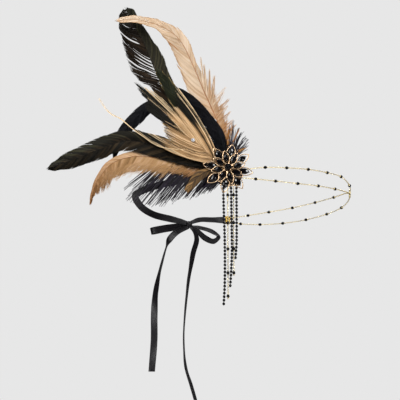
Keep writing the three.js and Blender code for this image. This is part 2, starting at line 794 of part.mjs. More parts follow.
function stationRows(places, length) {
  const rows = [{ at: 0, radius: CHAIN_RADIUS }];
  for (const place of places) {
    rows.push({ at: place - STATION_HALF_LENGTH, radius: CHAIN_RADIUS });
    rows.push({ at: place, radius: STATION_RADIUS });
    rows.push({ at: place + STATION_HALF_LENGTH, radius: CHAIN_RADIUS });
  }
  rows.push({ at: length, radius: CHAIN_RADIUS });
  return rows;
}

function stringRows(length) {
  const beads = Math.round(length / STRING_PITCH);
  const pitch = length / beads;
  const rows = [{ at: 0, radius: STRING_NECK_RADIUS }];
  for (let bead = 0; bead < beads; bead += 1) {
    rows.push({ at: (bead + 0.5) * pitch, radius: STRING_BEAD_RADIUS });
    rows.push({ at: (bead + 1) * pitch, radius: STRING_NECK_RADIUS });
  }
  return rows;
}

function makeStrands() {
  const hangerY = BROOCH_BACK_Y - HANGER_DEPTH;
  const hangerFoot = HANGER_Z - HANGER_RADIUS - GAP;
  for (const strandRow of BEAD_STRANDS) {
    const points = strandRow.bends.map((bend) => vec(bend.x, strandRow.y, bend.z));
    add(strandRow.name, beaded(points, stringRows), 'jet');
  }
  for (const chain of CHAIN_STRANDS) {
    const points = [
      vec(chain.x, hangerY, hangerFoot),
      vec(chain.x, chain.y, hangerFoot - 4),
      vec(chain.x, chain.y, chain.end / 2),
      vec(chain.x, chain.y, chain.end),
    ];
    const places = chain.drops.map((drop) => hangerFoot - drop + 0.35);
    add(chain.name, beaded(points, (length) => stationRows(places, length)), 'gold');
  }
}

function makeChainRows() {
  for (const row of CHAIN_ROWS) {
    const points = row.rows.map((place) => vec(place.x, place.y, place.z));
    const curve = new THREE.CatmullRomCurve3(points, false, 'centripetal');
    curve.arcLengthDivisions = 600;
    const lengths = curve.getLengths(points.length - 1);
    const places = lengths.filter((length, k) => row.rows[k].bead);
    add(row.name, beaded(points, (length) => stationRows(places, length)), 'gold');
  }
}

// Ring at the front that gathers the four chain halves, and the clamp on the ribbon's far end
const FRONT_RING = { x: 97, y: 0, z: 2, halfY: 3.2, halfZ: 3.4, wire: 0.65, steps: 14 };
const CLAMP = { left: -14.6, right: -9.6, y: 78.7, z: -2.9, halfY: 1.3, halfZ: 3.7 };
const CLAMP_EYE = { x: -8, radius: 1.3, wire: 0.45, steps: 10 };

function box(centre, sizeX, sizeY, sizeZ) {
  const geometry = new THREE.BoxGeometry(sizeX, sizeY, sizeZ);
  geometry.translate(centre.x, centre.y, centre.z);
  return geometry;
}

function makeFittings() {
  const ringPoints = ringAt(
    vec(FRONT_RING.x, FRONT_RING.y, FRONT_RING.z),
    vec(0, 1, 0),
    vec(0, 0, 1),
    FRONT_RING.halfY,
    FRONT_RING.halfZ,
    FRONT_RING.steps,
  );
  add('front_connector', wireLoop(ringPoints, vec(1, 0, 0), FRONT_RING.wire, 6), 'gold');

  const middle = vec((CLAMP.left + CLAMP.right) / 2, CLAMP.y, CLAMP.z);
  const pieces = [box(middle, CLAMP.right - CLAMP.left, 2 * CLAMP.halfY, 2 * CLAMP.halfZ)];
  for (const row of CHAIN_ROWS.filter((candidate) => candidate.name.endsWith('far'))) {
    const end = row.rows[row.rows.length - 1];
    const eye = ringAt(
      vec(CLAMP_EYE.x, end.y, end.z),
      vec(1, 0, 0),
      vec(0, 0, 1),
      CLAMP_EYE.radius,
      CLAMP_EYE.radius,
      CLAMP_EYE.steps,
    );
    pieces.push(wireLoop(eye, vec(0, 1, 0), CLAMP_EYE.wire, 5));
  }
  add('ribbon_clamp', fuse(pieces), 'gold');
}

// Ribbon: a row for each station with its place, the direction of its width and the width itself
const RIBBONS = [
  {
    name: 'ribbon_band', steps: 26, rows: [
      { x: -27.2, y: -80.5, z: -1.4, ax: 0, ay: 0, az: 1, width: RIBBON_WIDTH },
      { x: -45, y: -75, z: -3.2, ax: 0, ay: 0, az: 1, width: RIBBON_WIDTH },
      { x: -60, y: -63.5, z: -3.7, ax: 0, ay: 0, az: 1, width: RIBBON_WIDTH },
      { x: -73, y: -52, z: -3.6, ax: 0.15, ay: 0.1, az: 1, width: RIBBON_WIDTH },
      { x: -85, y: -37.5, z: -3.4, ax: 0.35, ay: 0.2, az: 0.95, width: RIBBON_WIDTH },
      { x: -93, y: -20, z: -2.4, ax: 0.6, ay: 0.2, az: 0.8, width: RIBBON_WIDTH },
      { x: -96, y: -3, z: -0.8, ax: 0.8, ay: 0, az: 0.6, width: RIBBON_WIDTH },
      { x: -94.8, y: 14, z: -1.4, ax: 0.7, ay: -0.1, az: 0.7, width: RIBBON_WIDTH },
      { x: -89.8, y: 30, z: -4, ax: 0.5, ay: -0.2, az: 0.85, width: RIBBON_WIDTH },
      { x: -79.8, y: 46, z: -6, ax: 0.2, ay: -0.2, az: 0.95, width: RIBBON_WIDTH },
      { x: -65.6, y: 58.5, z: -6.7, ax: 0.1, ay: -0.1, az: 1, width: RIBBON_WIDTH },
      { x: -56.5, y: 64.5, z: -7.4, ax: 0, ay: 0, az: 1, width: 5.4 },
      { x: -50.9, y: 67.9, z: -8, ax: 0, ay: 0, az: 1, width: 4 },
    ],
  },
  {
    name: 'ribbon_far_band', steps: 10, rows: [
      { x: -44.9, y: 70, z: -6.9, ax: 0, ay: 0, az: 1, width: 3.6 },
      { x: -38, y: 73, z: -3.9, ax: 0, ay: 0.2, az: 1, width: 4.8 },
      { x: -26.6, y: 76.2, z: -3.2, ax: 0, ay: 0.3, az: 0.95, width: 5.6 },
      { x: -15, y: 78.5, z: -3, ax: 0, ay: 0, az: 1, width: RIBBON_WIDTH },
    ],
  },
  {
    name: 'bow_loop_left', steps: 18, rows: [
      { x: -50.7, y: 71.4, z: -10.2, ax: 0, ay: 0, az: 1, width: 3.4 },
      { x: -60, y: 71.8, z: -10.8, ax: 0.1, ay: 0, az: 1, width: 6 },
      { x: -72, y: 71.2, z: -12.7, ax: -0.2, ay: 0, az: 1, width: RIBBON_WIDTH },
      { x: -82, y: 70.9, z: -14.8, ax: -0.22, ay: 0, az: 1, width: RIBBON_WIDTH },
      { x: -83.8, y: 72.7, z: -15.2, ax: -0.22, ay: 0, az: 1, width: RIBBON_WIDTH },
      { x: -82, y: 74.5, z: -14.8, ax: -0.22, ay: 0, az: 1, width: RIBBON_WIDTH },
      { x: -72, y: 74.6, z: -12.7, ax: -0.2, ay: 0, az: 1, width: RIBBON_WIDTH },
      { x: -60, y: 74.9, z: -10.8, ax: 0.1, ay: 0, az: 1, width: 6 },
      { x: -50.7, y: 73.4, z: -10.2, ax: 0, ay: 0, az: 1, width: 3.4 },
    ],
  },
  {
    name: 'bow_loop_right', steps: 18, rows: [
      { x: -45.1, y: 73.2, z: -10.2, ax: 0, ay: 1, az: 0, width: 3.6 },
      { x: -37.8, y: 74.8, z: -11.1, ax: 0, ay: 0.9, az: 0.45, width: 5.2 },
      { x: -27, y: 75, z: -14.6, ax: 0.2, ay: 0.85, az: 0.45, width: 6 },
      { x: -20.6, y: 74.8, z: -19.8, ax: 0.3, ay: 0.9, az: 0.1, width: RIBBON_WIDTH },
      { x: -25, y: 74.4, z: -24.2, ax: 0.2, ay: 0.85, az: 0.5, width: RIBBON_WIDTH },
      { x: -33.1, y: 74, z: -21.2, ax: -0.4, ay: 0.75, az: 0.5, width: 6 },
      { x: -40.3, y: 73.6, z: -14.8, ax: -0.3, ay: 0.9, az: 0.3, width: 5 },
      { x: -45.1, y: 73.2, z: -12, ax: 0, ay: 1, az: 0, width: 3.6 },
    ],
  },
  {
    name: 'ribbon_tail_left', steps: 22, rows: [
      { x: -49.6, y: 69.2, z: -12.5, ax: 0.5, ay: 0, az: 0.8, width: 3.2 },
      { x: -56.9, y: 69.2, z: -14, ax: 0.4, ay: 0, az: 0.9, width: 5.6 },
      { x: -65.3, y: 69.6, z: -21.6, ax: 0.7, ay: 0.2, az: 0.7, width: RIBBON_WIDTH },
      { x: -69, y: 70.4, z: -31, ax: 0.5, ay: 0.85, az: 0, width: RIBBON_WIDTH },
      { x: -74.3, y: 71, z: -50.4, ax: 0.35, ay: 0.92, az: 0, width: RIBBON_WIDTH },
      { x: -78.9, y: 71, z: -73.3, ax: 0.75, ay: 0.65, az: 0, width: RIBBON_WIDTH },
      { x: -80, y: 70.6, z: -94.9, ax: 1, ay: 0.2, az: 0, width: RIBBON_WIDTH },
      { x: -80, y: 70.2, z: -118.5, ax: 1, ay: 0, az: 0, width: RIBBON_WIDTH },
      { x: -82, y: 70, z: -147.9, ax: 0.9, ay: -0.3, az: 0, width: RIBBON_WIDTH },
    ],
  },
  {
    name: 'ribbon_tail_right', steps: 23, rows: [
      { x: -46.4, y: 68.4, z: -12.2, ax: 0.9, ay: 0.2, az: 0, width: 3 },
      { x: -43.4, y: 67.6, z: -15.6, ax: 0.6, ay: 0.6, az: 0.4, width: 4.6 },
      { x: -40.8, y: 67.4, z: -23.5, ax: 0.7, ay: 0.7, az: 0, width: RIBBON_WIDTH },
      { x: -44.3, y: 67.6, z: -37.7, ax: 0.7, ay: 0.7, az: 0, width: RIBBON_WIDTH },
      { x: -47.7, y: 68.2, z: -58.4, ax: 0.4, ay: 0.9, az: 0, width: RIBBON_WIDTH },
      { x: -50.7, y: 69, z: -82.5, ax: 0.25, ay: 0.97, az: 0, width: RIBBON_WIDTH },
      { x: -52.4, y: 69.4, z: -106.6, ax: 0.15, ay: 0.99, az: 0, width: RIBBON_WIDTH },
      { x: -52.6, y: 69.4, z: -127.9, ax: 0.2, ay: 0.98, az: 0, width: RIBBON_WIDTH },
      { x: -50.4, y: 69.2, z: -145.7, ax: 0.4, ay: 0.92, az: 0, width: RIBBON_WIDTH },
      { x: -46, y: 69, z: -160, ax: 0.5, ay: 0.87, az: 0, width: RIBBON_WIDTH },
      { x: -42, y: 69, z: -174.5, ax: 0.5, ay: 0.87, az: 0, width: RIBBON_WIDTH },
    ],
  },
];
const KNOT = { x: -47.8, y: 70, z: -8.8, halfX: 2.5, halfY: 3, halfZ: 3 };

function ribbonSolid(ribbon) {
  const points = ribbon.rows.map((row) => vec(row.x, row.y, row.z));
  const curve = new THREE.CatmullRomCurve3(points);
  const rings = [];
  for (let step = 0; step <= ribbon.steps; step += 1) {
    const share = step / ribbon.steps;
    const along = curve.getTangent(share);
    const lean = vec(
      blend(ribbon.rows.map((row) => row.ax), share),
      blend(ribbon.rows.map((row) => row.ay), share),
      blend(ribbon.rows.map((row) => row.az), share),
    );
    const across = lean.addScaledVector(along, -lean.dot(along)).normalize();
    const face = across.clone().cross(along);
    const half = blend(ribbon.rows.map((row) => row.width), share) / 2;
    const thick = RIBBON_THICKNESS / 2;
    const corner = (reach, rise) => curve.getPoint(share)
      .addScaledVector(across, reach)
      .addScaledVector(face, rise);
    rings.push([corner(-half, -thick), corner(half, -thick), corner(half, thick), corner(-half, thick)]);
  }
  return loft(rings);
}

function makeRibbons() {
  for (const ribbon of RIBBONS) {
    add(ribbon.name, ribbonSolid(ribbon), 'satin');
  }
  const sections = [
    { along: -1, scale: 0.62 },
    { along: -0.6, scale: 0.92 },
    { along: 0, scale: 1 },
    { along: 0.6, scale: 0.92 },
    { along: 1, scale: 0.62 },
  ];
  const rings = sections.map((section) => ringAt(
    vec(KNOT.x + section.along * KNOT.halfX, KNOT.y, KNOT.z),
    vec(0, 1, 0),
    vec(0, 0, 1),
    KNOT.halfY * section.scale,
    KNOT.halfZ * section.scale,
    12,
  ));
  add('bow_knot', loft(rings), 'satin');
}

makeBrooch();
makeBacking();
makeFeathers();
makeTufts();
makeFeatherStone();
makeStrands();
makeChainRows();
makeFittings();
makeRibbons();

export default group;
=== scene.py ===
import math

import bmesh
import bpy
import numpy as np
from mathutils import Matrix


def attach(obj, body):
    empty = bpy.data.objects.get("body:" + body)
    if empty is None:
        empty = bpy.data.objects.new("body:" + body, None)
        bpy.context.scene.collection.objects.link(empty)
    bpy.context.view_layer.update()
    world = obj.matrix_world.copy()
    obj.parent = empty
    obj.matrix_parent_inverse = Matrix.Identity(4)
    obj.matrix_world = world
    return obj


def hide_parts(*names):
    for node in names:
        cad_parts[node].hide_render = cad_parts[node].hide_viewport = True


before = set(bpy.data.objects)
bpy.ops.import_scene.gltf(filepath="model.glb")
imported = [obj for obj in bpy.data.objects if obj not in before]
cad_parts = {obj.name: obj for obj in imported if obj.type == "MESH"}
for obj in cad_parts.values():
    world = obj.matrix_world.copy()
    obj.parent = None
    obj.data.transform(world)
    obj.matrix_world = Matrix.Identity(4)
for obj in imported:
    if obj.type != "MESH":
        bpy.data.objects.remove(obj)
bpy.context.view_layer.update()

# Feather headband. Sizes and places are in millimetres in the frame of the solids, and MM turns them to
# metres. +Z is up, -Y is the side with the brooch and +X is the wearer's front
MM = 0.001
FRONT = np.array([0.0, -1.0, 0.0])
BODY = "root"
draw = np.random.default_rng(11)

# The photograph's view: the level loop is seen from a little below, through a long lens
CAMERA_DISTANCE = 1800.0
CAMERA_RISE = math.radians(14.5)
CAMERA_AIM_RIGHT = -37.8
CAMERA_AIM_UP = -3.6
SENSOR = 36.0
LENS = 180.0
FLOOR_Z = -640.0
FLOOR_HALF = 6000.0


def columns(names, rows):
    """A table with named columns, each as an array."""
    return dict(zip(names.split(), np.array(rows, float).T))


def xyz(x, y, z):
    """Places from their coordinates, with single numbers spread over all of them."""
    return np.stack(np.broadcast_arrays(x, y, z), axis=-1)


def circle(steps):
    """Angles evenly round a circle."""
    return np.linspace(0, 2 * math.pi, steps, endpoint=False)


# Feathers: a row for each station of the shaft, with the width of the vane on its left and right
STATION = "x y z left right"
QUILL_START = 3.0
QUILL_HALF = 0.8
POST_X, POST_Z = -13.8, 0.3
FEATHERS = {
    "coque_tall": dict(angle=122, layer=-86.2, rows=[
        (-24, -86.3, 13.5, 0.9, 0.9),
        (-37.8, -86.4, 29.5, 4, 4),
        (-50, -86.4, 45, 6.5, 7),
        (-62, -86, 63, 9.8, 7.5),
        (-71, -85.4, 80, 10.4, 9.4),
        (-76.9, -85, 90.8, 16.2, 10.5),
        (-79.85, -84.5, 98.2, 19.4, 11.4),
        (-83.7, -83.8, 108, 18.3, 10.4),
        (-88.2, -83, 119.4, 17, 7.4),
        (-96, -81.5, 134, 13.5, 6.8),
        (-101.6, -80.3, 146, 8.5, 6.5),
        (-104, -80, 151, 1.5, 1.5),
    ]),
    "peach_tall": dict(angle=96, layer=-82.8, rows=[
        (-15.5, -82.8, 16, 0.9, 0.9),
        (-19, -82.7, 32, 2, 3),
        (-23.5, -82.5, 47, 6, 6),
        (-33.5, -82.2, 70.5, 14.5, 5.5),
        (-43.9, -83.4, 96, 12.5, 4),
        (-54.5, -86, 117, 11.5, 6.5),
        (-64, -87.4, 126, 9, 6),
        (-76, -88.5, 131.8, 5, 5),
        (-94.6, -89.5, 136, 4.2, 4.0),
        (-105.5, -89.3, 135.5, 3.6, 3.2),
        (-112.3, -89, 134.8, 1.2, 1.0),
    ]),
    "coque_left": dict(angle=168, layer=-87.9, rows=[
        (-29, -87.9, 4.6, 0.9, 0.9),
        (-45, -87.8, 9.5, 6.5, 7),
        (-55, -87.7, 13, 8, 8.5),
        (-80.8, -87.6, 23, 9.8, 9.5),
        (-102.4, -87.2, 26.4, 9, 10),
        (-124, -85.5, 19.3, 8.5, 10),
        (-149.9, -82, 10, 7, 8.2),
        (-163, -80, 5.8, 4, 4),
        (-170.6, -79, 3.3, 0.6, 0.6),
    ]),
    "peach_left": dict(angle=186, layer=-86.2, rows=[
        (-31, -86.1, 1.4, 0.9, 0.9),
        (-45, -85.8, 4.5, 6, 3),
        (-60, -85.4, 8.5, 10, 5),
        (-76.5, -85.2, 12, 13, 6),
        (-97.9, -85.2, 12.4, 13.5, 5),
        (-114, -85.6, 6, 12, 4),
        (-124.6, -86.2, -7, 6, 2.8),
        (-130, -86.2, -20, 1.8, 1.4),
        (-131.8, -86, -31, 0.6, 0.6),
    ]),
    "coque_sickle": dict(angle=134, layer=-82.9, rows=[
        (-27, -82.9, 16.6, 0.9, 0.9),
        (-42, -82.6, 37.5, 3.5, 3),
        (-54, -82, 53, 4.5, 4),
        (-64, -81.2, 61.5, 5, 4.5),
        (-81, -79.8, 60, 5.6, 5),
        (-92.5, -78.5, 50.5, 6.2, 6),
        (-103, -77.5, 38.5, 5.4, 5.6),
        (-109.6, -77, 25, 3.4, 3.4),
        (-112.9, -77, 9.8, 0.6, 0.6),
    ]),
    "coque_back": dict(angle=106, layer=-84.5, rows=[
        (-16.4, -84.5, 14, 0.9, 0.9),
        (-20.8, -84.5, 32, 8, 4.5),
        (-31.6, -84.5, 52.5, 9, 1.8),
        (-43.6, -84.6, 66, 6, 1.4),
        (-52, -84.8, 72, 3.5, 1.2),
        (-57, -85, 75, 0.6, 0.6),
    ]),
    "coque_small": dict(angle=124, layer=-87.9, rows=[
        (-23.5, -88, 13.5, 0.9, 0.9),
        (-37.8, -88.4, 34, 4.5, 4.5),
        (-55, -89, 58.5, 6.5, 6.5),
        (-66.5, -89, 77, 5.5, 5.5),
        (-73, -88.8, 87, 3, 3),
        (-76.2, -88.6, 92, 0.6, 0.6),
    ]),
    "golden_hackle": dict(angle=140, layer=-89.6, rows=[
        (-22, -89.8, 7.5, 1.2, 1.2),
        (-38, -90.8, 22, 9, 9),
        (-52, -91.4, 37, 14.5, 13.5),
        (-62, -91.6, 48.5, 15, 14),
        (-70, -91.6, 57, 11, 11),
        (-76, -91.5, 63, 4, 4),
    ]),
    "ochre_hackle": dict(angle=192, layer=-89.6, rows=[
        (-22, -89.7, -0.8, 1, 1),
        (-30, -90, -1, 3, 3),
        (-38, -90.2, -5.4, 4.4, 4.4),
        (-45, -90.2, -13.6, 3.4, 3.4),
        (-50, -90, -19.6, 2, 2),
    ]),
}

# How the barbs of each side lie: spacing in mm, lean from the shaft in degrees and how far it closes towards
# the tip, barbs in a lock, how far a lock's tips draw together, how uneven the tips are, how far the edge
# falls back, how full a barb covers its spacing and how strongly the streaks differ
BARBS = "spacing lean close lock pinch ragged camber fill streak"
SIDES = {"left": -1, "right": 1}
VANES = {
    "coque_tall": dict(
        left=(0.34, 10, -34, 30, 0.1, 0.03, 1.6, 0.76, 0.6),
        right=(0.34, 30, 8, 34, 0.08, 0.02, 1.4, 0.8, 0.4),
    ),
    "peach_tall": dict(
        left=(0.36, 30, 4, 12, 0.2, 0.025, -4.0, 0.72, 0.6),
        right=(0.36, 26, 4, 12, 0.2, 0.05, 1.0, 0.72, 0.6),
    ),
    "coque_left": dict(
        left=(0.34, 32, 4, 30, 0.1, 0.03, 1.2, 0.8, 0.95),
        right=(0.34, 32, 4, 34, 0.1, 0.03, 1.2, 0.8, 0.95),
    ),
    "peach_left": dict(
        left=(0.36, 64, 28, 14, 0.2, 0.06, 1.2, 0.72, 0.8),
        right=(0.36, 30, 4, 20, 0.1, 0.03, 1.0, 0.75, 0.7),
    ),
    "coque_sickle": dict.fromkeys(SIDES, (0.34, 26, 0, 40, 0.06, 0.03, 0.8, 0.8, 0.7)),
    "coque_back": dict.fromkeys(SIDES, (0.34, 30, 0, 40, 0.06, 0.04, 0.8, 0.8, 0.7)),
    "coque_small": dict.fromkeys(SIDES, (0.36, 17, 0, 18, 0.2, 0.06, 0.8, 0.75, 0.9)),
    "ochre_hackle": dict.fromkeys(SIDES, (0.34, 26, 0, 9, 0.35, 0.08, 0.6, 0.7, 1.0)),
}
# Points along a barb, how far it curls towards the feather's tip, and the last share of the shaft it reaches
BARB_ROWS = 12
BARB_CURL = 0.1
BARB_LAST = 0.997
# Half widths of a loose barb at its root and its tip
LOOSE_BARB = 0.24
LOOSE_TIP = 0.05
# Steps of a curve between two rows of its table
SPAN_STEPS = 40


def smooth_path(points, steps=SPAN_STEPS):
    """Centripetal spline through the points, with the end spans carried on straight."""
    points = np.asarray(points, float)
    ends = np.vstack([2 * points[0] - points[1], points, 2 * points[-1] - points[-2]])
    gaps = np.linalg.norm(np.diff(ends, axis=0), axis=1) ** 0.5
    part = np.linspace(0, 1, steps, endpoint=False)[:, None]
    spans = []
    for k in range(len(points) - 1):
        before, start, end, after = ends[k:k + 4]
        d0, d1, d2 = gaps[k:k + 3]
        leave = d1 * ((start - before) / d0 - (end - before) / (d0 + d1) + (end - start) / d1)
        arrive = d1 * ((end - start) / d1 - (after - start) / (d1 + d2) + (after - end) / d2)
        spans.append((2 * part**3 - 3 * part**2 + 1) * start + (part**3 - 2 * part**2 + part) * leave
                     + (3 * part**2 - 2 * part**3) * end + (part**3 - part**2) * arrive)
    spans.append(points[-1:])
    return np.vstack(spans)


def blended(values, steps=SPAN_STEPS):
    """Values between the rows of a table, eased from row to row."""
    values = np.asarray(values, float)
    place = np.arange((len(values) - 1) * steps + 1) / steps
    low = np.minimum(place.astype(int), len(values) - 2)
    part = place - low
    return values[low] + (values[low + 1] - values[low]) * part * part * (3 - 2 * part)


def unit(vectors):
    """Vectors brought to length 1."""
    return vectors / np.linalg.norm(vectors, axis=-1, keepdims=True)


def eased(values, start, end):
    """0 up to the start, 1 from the end on, and a smooth step between."""
    part = np.clip((values - start) / (end - start), 0, 1)
    return part * part * (3 - 2 * part)


def lengths_along(points):
    """Length of a path up to each of its points."""
    return np.concatenate([[0], np.cumsum(np.linalg.norm(np.diff(points, axis=0), axis=1))])


def quill_foot(row):
    """Where a quill starts, beside the brooch's post."""
    turn = math.radians(row["angle"])
    return (POST_X + QUILL_START * math.cos(turn), row["layer"], POST_Z + QUILL_START * math.sin(turn))


def shaft_of(name):
    """The shaft of a feather as a table by share of its length."""
    feather = FEATHERS[name]
    rows = columns(STATION, [quill_foot(feather) + (QUILL_HALF, QUILL_HALF)] + feather["rows"])
    place = smooth_path(xyz(rows["x"], rows["y"], rows["z"]))
    gone = lengths_along(place)
    along = unit(np.gradient(place, axis=0))
    across = unit(np.cross(along, FRONT))
    return dict(
        length=gone[-1], share=gone / gone[-1], place=place, along=along, across=across,
        face=np.cross(across, along), left=blended(rows["left"]), right=blended(rows["right"]),
    )


def on_shaft(shaft, share, what):
    """One column of a shaft's table at shares of its length."""
    values = shaft[what]
    if values.ndim == 1:
        return np.interp(share, shaft["share"], values)
    return np.stack([np.interp(share, shaft["share"], column) for column in values.T], axis=-1)


# Meshes are gathered as bundles: points, quads and a value for each point
def bundle(grid, wrap_rows=False, wrap_columns=False, **values):
    """Many sheets at once. The grid is sheets by rows by columns by 3."""
    index = np.arange(grid[..., 0].size).reshape(grid.shape[:3])
    below = np.roll(index, -1, axis=1)
    beside = np.roll(index, -1, axis=2)
    quads = np.stack([index, beside, np.roll(below, -1, axis=2), below], axis=-1)
    if not wrap_rows:
        quads = quads[:, :-1]
    if not wrap_columns:
        quads = quads[:, :, :-1]
    spread = {name: np.broadcast_to(value, grid.shape[:3]).ravel() for name, value in values.items()}
    return dict(points=grid.reshape(-1, 3), quads=quads.reshape(-1, 4), values=spread)


def joined(parts):
    """Bundles as one, with 0 for a value that a bundle doesn't have."""
    names = sorted({name for part in parts for name in part["values"]})
    counts = [len(part["points"]) for part in parts]
    starts = np.concatenate([[0], np.cumsum(counts)[:-1]])
    return dict(
        points=np.vstack([part["points"] for part in parts]),
        quads=np.vstack([part["quads"] + start for part, start in zip(parts, starts)]),
        values={name: np.concatenate([part["values"].get(name, np.zeros(count))
                                      for part, count in zip(parts, counts)]) for name in names},
    )


def add_object(name, data):
    made = bpy.data.objects.new(name, data)
    bpy.context.scene.collection.objects.link(made)
    return made


def piece(name, parts, materials, nodes, smooth=True, weld=True):
    """One object from bundles, a material for each bundle or one for all, riding on the body."""
    parts = parts if isinstance(parts, list) else [parts]
    materials = materials if isinstance(materials, list) else [materials]
    whole = joined(parts)
    mesh = bpy.data.meshes.new(name)
    mesh.from_pydata((whole["points"] * MM).tolist(), [], whole["quads"].tolist())
    for key, values in whole["values"].items():
        layer = mesh.attributes.new(key, "FLOAT", "POINT")
        layer.data.foreach_set("value", values.astype(np.float32))
    for material in dict.fromkeys(materials):
        mesh.materials.append(material)
    if len(materials) == len(parts):
        order = list(dict.fromkeys(materials))
        picks = np.concatenate([np.full(len(part["quads"]), order.index(material))
                                for part, material in zip(parts, materials)])
        mesh.polygons.foreach_set("material_index", picks.astype(np.int32))
    mesh.polygons.foreach_set("use_smooth", np.full(len(mesh.polygons), smooth))
    if weld:
        shape = bmesh.new()
        shape.from_mesh(mesh)
        bmesh.ops.remove_doubles(shape, verts=shape.verts, dist=1e-7)
        bmesh.ops.recalc_face_normals(shape, faces=shape.faces)
        shape.to_mesh(mesh)
        shape.free()
    mesh.update()
    made = add_object(name, mesh)
    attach(made, BODY)
    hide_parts(*nodes)
    return made


# Materials
def linear(hex_colour):
    """sRGB hex as linear red, green, blue and alpha."""
    parts = [int(hex_colour[k:k + 2], 16) / 255 for k in (1, 3, 5)]
    return [p / 12.92 if p <= 0.04045 else ((p + 0.055) / 1.055) ** 2.4 for p in parts] + [1.0]


def fill(tree, node, sockets=None, links=None):
    """Sets values on a node's sockets, and links other sockets to their sources."""
    for name, value in (sockets or {}).items():
        node.inputs[name].default_value = value
    for name, source in (links or {}).items():
        tree.links.new(source, node.inputs[name])


def put(tree, kind, sockets=None, links=None, stops=None, **settings):
    """Adds a node with its settings, its sockets' values, its links and its ramp's stops."""
    made = tree.nodes.new("ShaderNode" + kind)
    for name, value in settings.items():
        setattr(made, name, value)
    fill(tree, made, sockets, links)
    if stops:
        ramp = made.color_ramp
        while len(ramp.elements) < len(stops):
            ramp.elements.new(0.5)
        for element, (place, colour) in zip(ramp.elements, stops):
            element.position = place
            element.color = linear(colour)
    return made


def new_material(name):
    made = bpy.data.materials.new(name)
    made.use_nodes = True
    return made, made.node_tree, made.node_tree.nodes["Principled BSDF"]


# Sockets of a colour mix: its two colours and its result
MIX_A, MIX_B, MIX_COLOUR = 6, 7, 2

# Grain of the finishes in mm: colour patches on a vane, haze on gold, depth in black glass, painted glints in
# crystal, tangles in felt and threads in satin. Real satin threads are about 0.12 mm apart, too fine to show,
# so they are drawn coarser
VANE_PATCH = 9.0
GOLD_HAZE = 1.5
GLASS_DEPTH = 2.5
CRYSTAL_PAINTED_GLINT = 0.8
FELT_TANGLE = 0.6
SATIN_THREAD = 0.45
# Changes along a satin thread for each change across it
SATIN_FLOAT = 0.12


def feather_finish(name, dark, mid, light, shaft, roughness, shine, ends=None, tint="#ffffff", sheen=0.0,
                   lace=None):
    """Keratin barbs side by side: fine lines of light and dark along each barb, softer colour patches across
    the vane, and a shaft of its own colour. The foot and the tip can have their own colours; a bluish tip
    colour is painted sheen. Laced feathers turn to pale and dark barbs at their edge, and the same lacing
    colours laid over a whole side are painted sheen."""
    made, tree, shader = new_material(name)
    tone = put(tree, "Attribute", attribute_name="tone")
    place = put(tree, "TexCoord")
    patch = put(tree, "TexNoise", {"Scale": 1 / (VANE_PATCH * MM), "Detail": 3.0},
                {"Vector": place.outputs["Object"]})
    mixed = put(tree, "Math", {1: 0.3}, {0: patch.outputs["Fac"]}, operation="MULTIPLY")
    value = put(tree, "Math", {1: 0.7}, {0: tone.outputs["Fac"], 2: mixed.outputs[0]},
                operation="MULTIPLY_ADD")
    colour = put(tree, "ValToRGB", None, {"Fac": value.outputs[0]}, [(0.2, dark), (0.5, mid), (0.85, light)])
    surface = colour.outputs["Color"]
    # Lacing colours: at a laced feather's edge they are its lacing, and over a whole side they are painted
    # sheen
    if lace:
        laced = put(tree, "Attribute", attribute_name="laced")
        bands = put(tree, "ValToRGB", None, {"Fac": tone.outputs["Fac"]},
                    [(0.45, lace[0]), (0.55, lace[0]), (0.6, lace[1]), (0.85, lace[2])])
        edge = put(tree, "Mix", None,
                   {0: laced.outputs["Fac"], MIX_A: surface, MIX_B: bands.outputs["Color"]},
                   data_type="RGBA")
        surface = edge.outputs[MIX_COLOUR]
    if ends:
        foot, tip, foot_end = ends
        along = put(tree, "Attribute", attribute_name="along")
        stretch = put(tree, "ValToRGB", None, {"Fac": along.outputs["Fac"]},
                      [(0.0, foot), (foot_end, "#ffffff"), (0.55, "#ffffff"), (1.0, tip)])
        tinted = put(tree, "Mix", {0: 1.0}, {MIX_A: surface, MIX_B: stretch.outputs["Color"]},
                     data_type="RGBA", blend_type="MULTIPLY")
        surface = tinted.outputs[MIX_COLOUR]
    stem = put(tree, "Attribute", attribute_name="shaft")
    whole = put(tree, "Mix", {MIX_B: linear(shaft)}, {0: stem.outputs["Fac"], MIX_A: surface},
                data_type="RGBA")
    rough = put(tree, "MapRange", {3: roughness - 0.08, 4: roughness + 0.08}, {0: value.outputs[0]})
    fill(tree, shader, {
        "Specular IOR Level": shine, "Specular Tint": linear(tint),
        "Sheen Weight": sheen, "Sheen Roughness": 0.4, "IOR": 1.55,
    }, {"Base Color": whole.outputs[MIX_COLOUR], "Roughness": rough.outputs[0]})
    return made


def mottled(name, grain, detail, colours, roughness, sockets):
    """A finish whose colour and gloss drift between two values over its grain."""
    made, tree, shader = new_material(name)
    place = put(tree, "TexCoord")
    drift = put(tree, "TexNoise", {"Scale": 1 / (grain * MM), "Detail": detail},
                {"Vector": place.outputs["Object"]})
    colour = put(tree, "ValToRGB", None, {"Fac": drift.outputs["Fac"]}, list(zip((0.3, 0.7), colours)))
    rough = put(tree, "MapRange", {3: roughness[0], 4: roughness[1]}, {0: drift.outputs["Fac"]})
    fill(tree, shader, sockets, {"Base Color": colour.outputs["Color"], "Roughness": rough.outputs[0]})
    return made


def polished_gold(name, dark, light):
    """Gold plating on alloy, polished: warm mirror with the faint haze of tumbling."""
    return mottled(name, GOLD_HAZE, 2.0, (dark, light), (0.16, 0.34), {"Metallic": 1.0})


def black_glass(name, roughness, ior, shine):
    """Black glass: deep black with glints on its facets, sharp when cut and polished, soft when tumbled."""
    return mottled(name, GLASS_DEPTH, 1.0, ("#010102", "#050406"), roughness,
                   {"IOR": ior, "Specular IOR Level": shine})


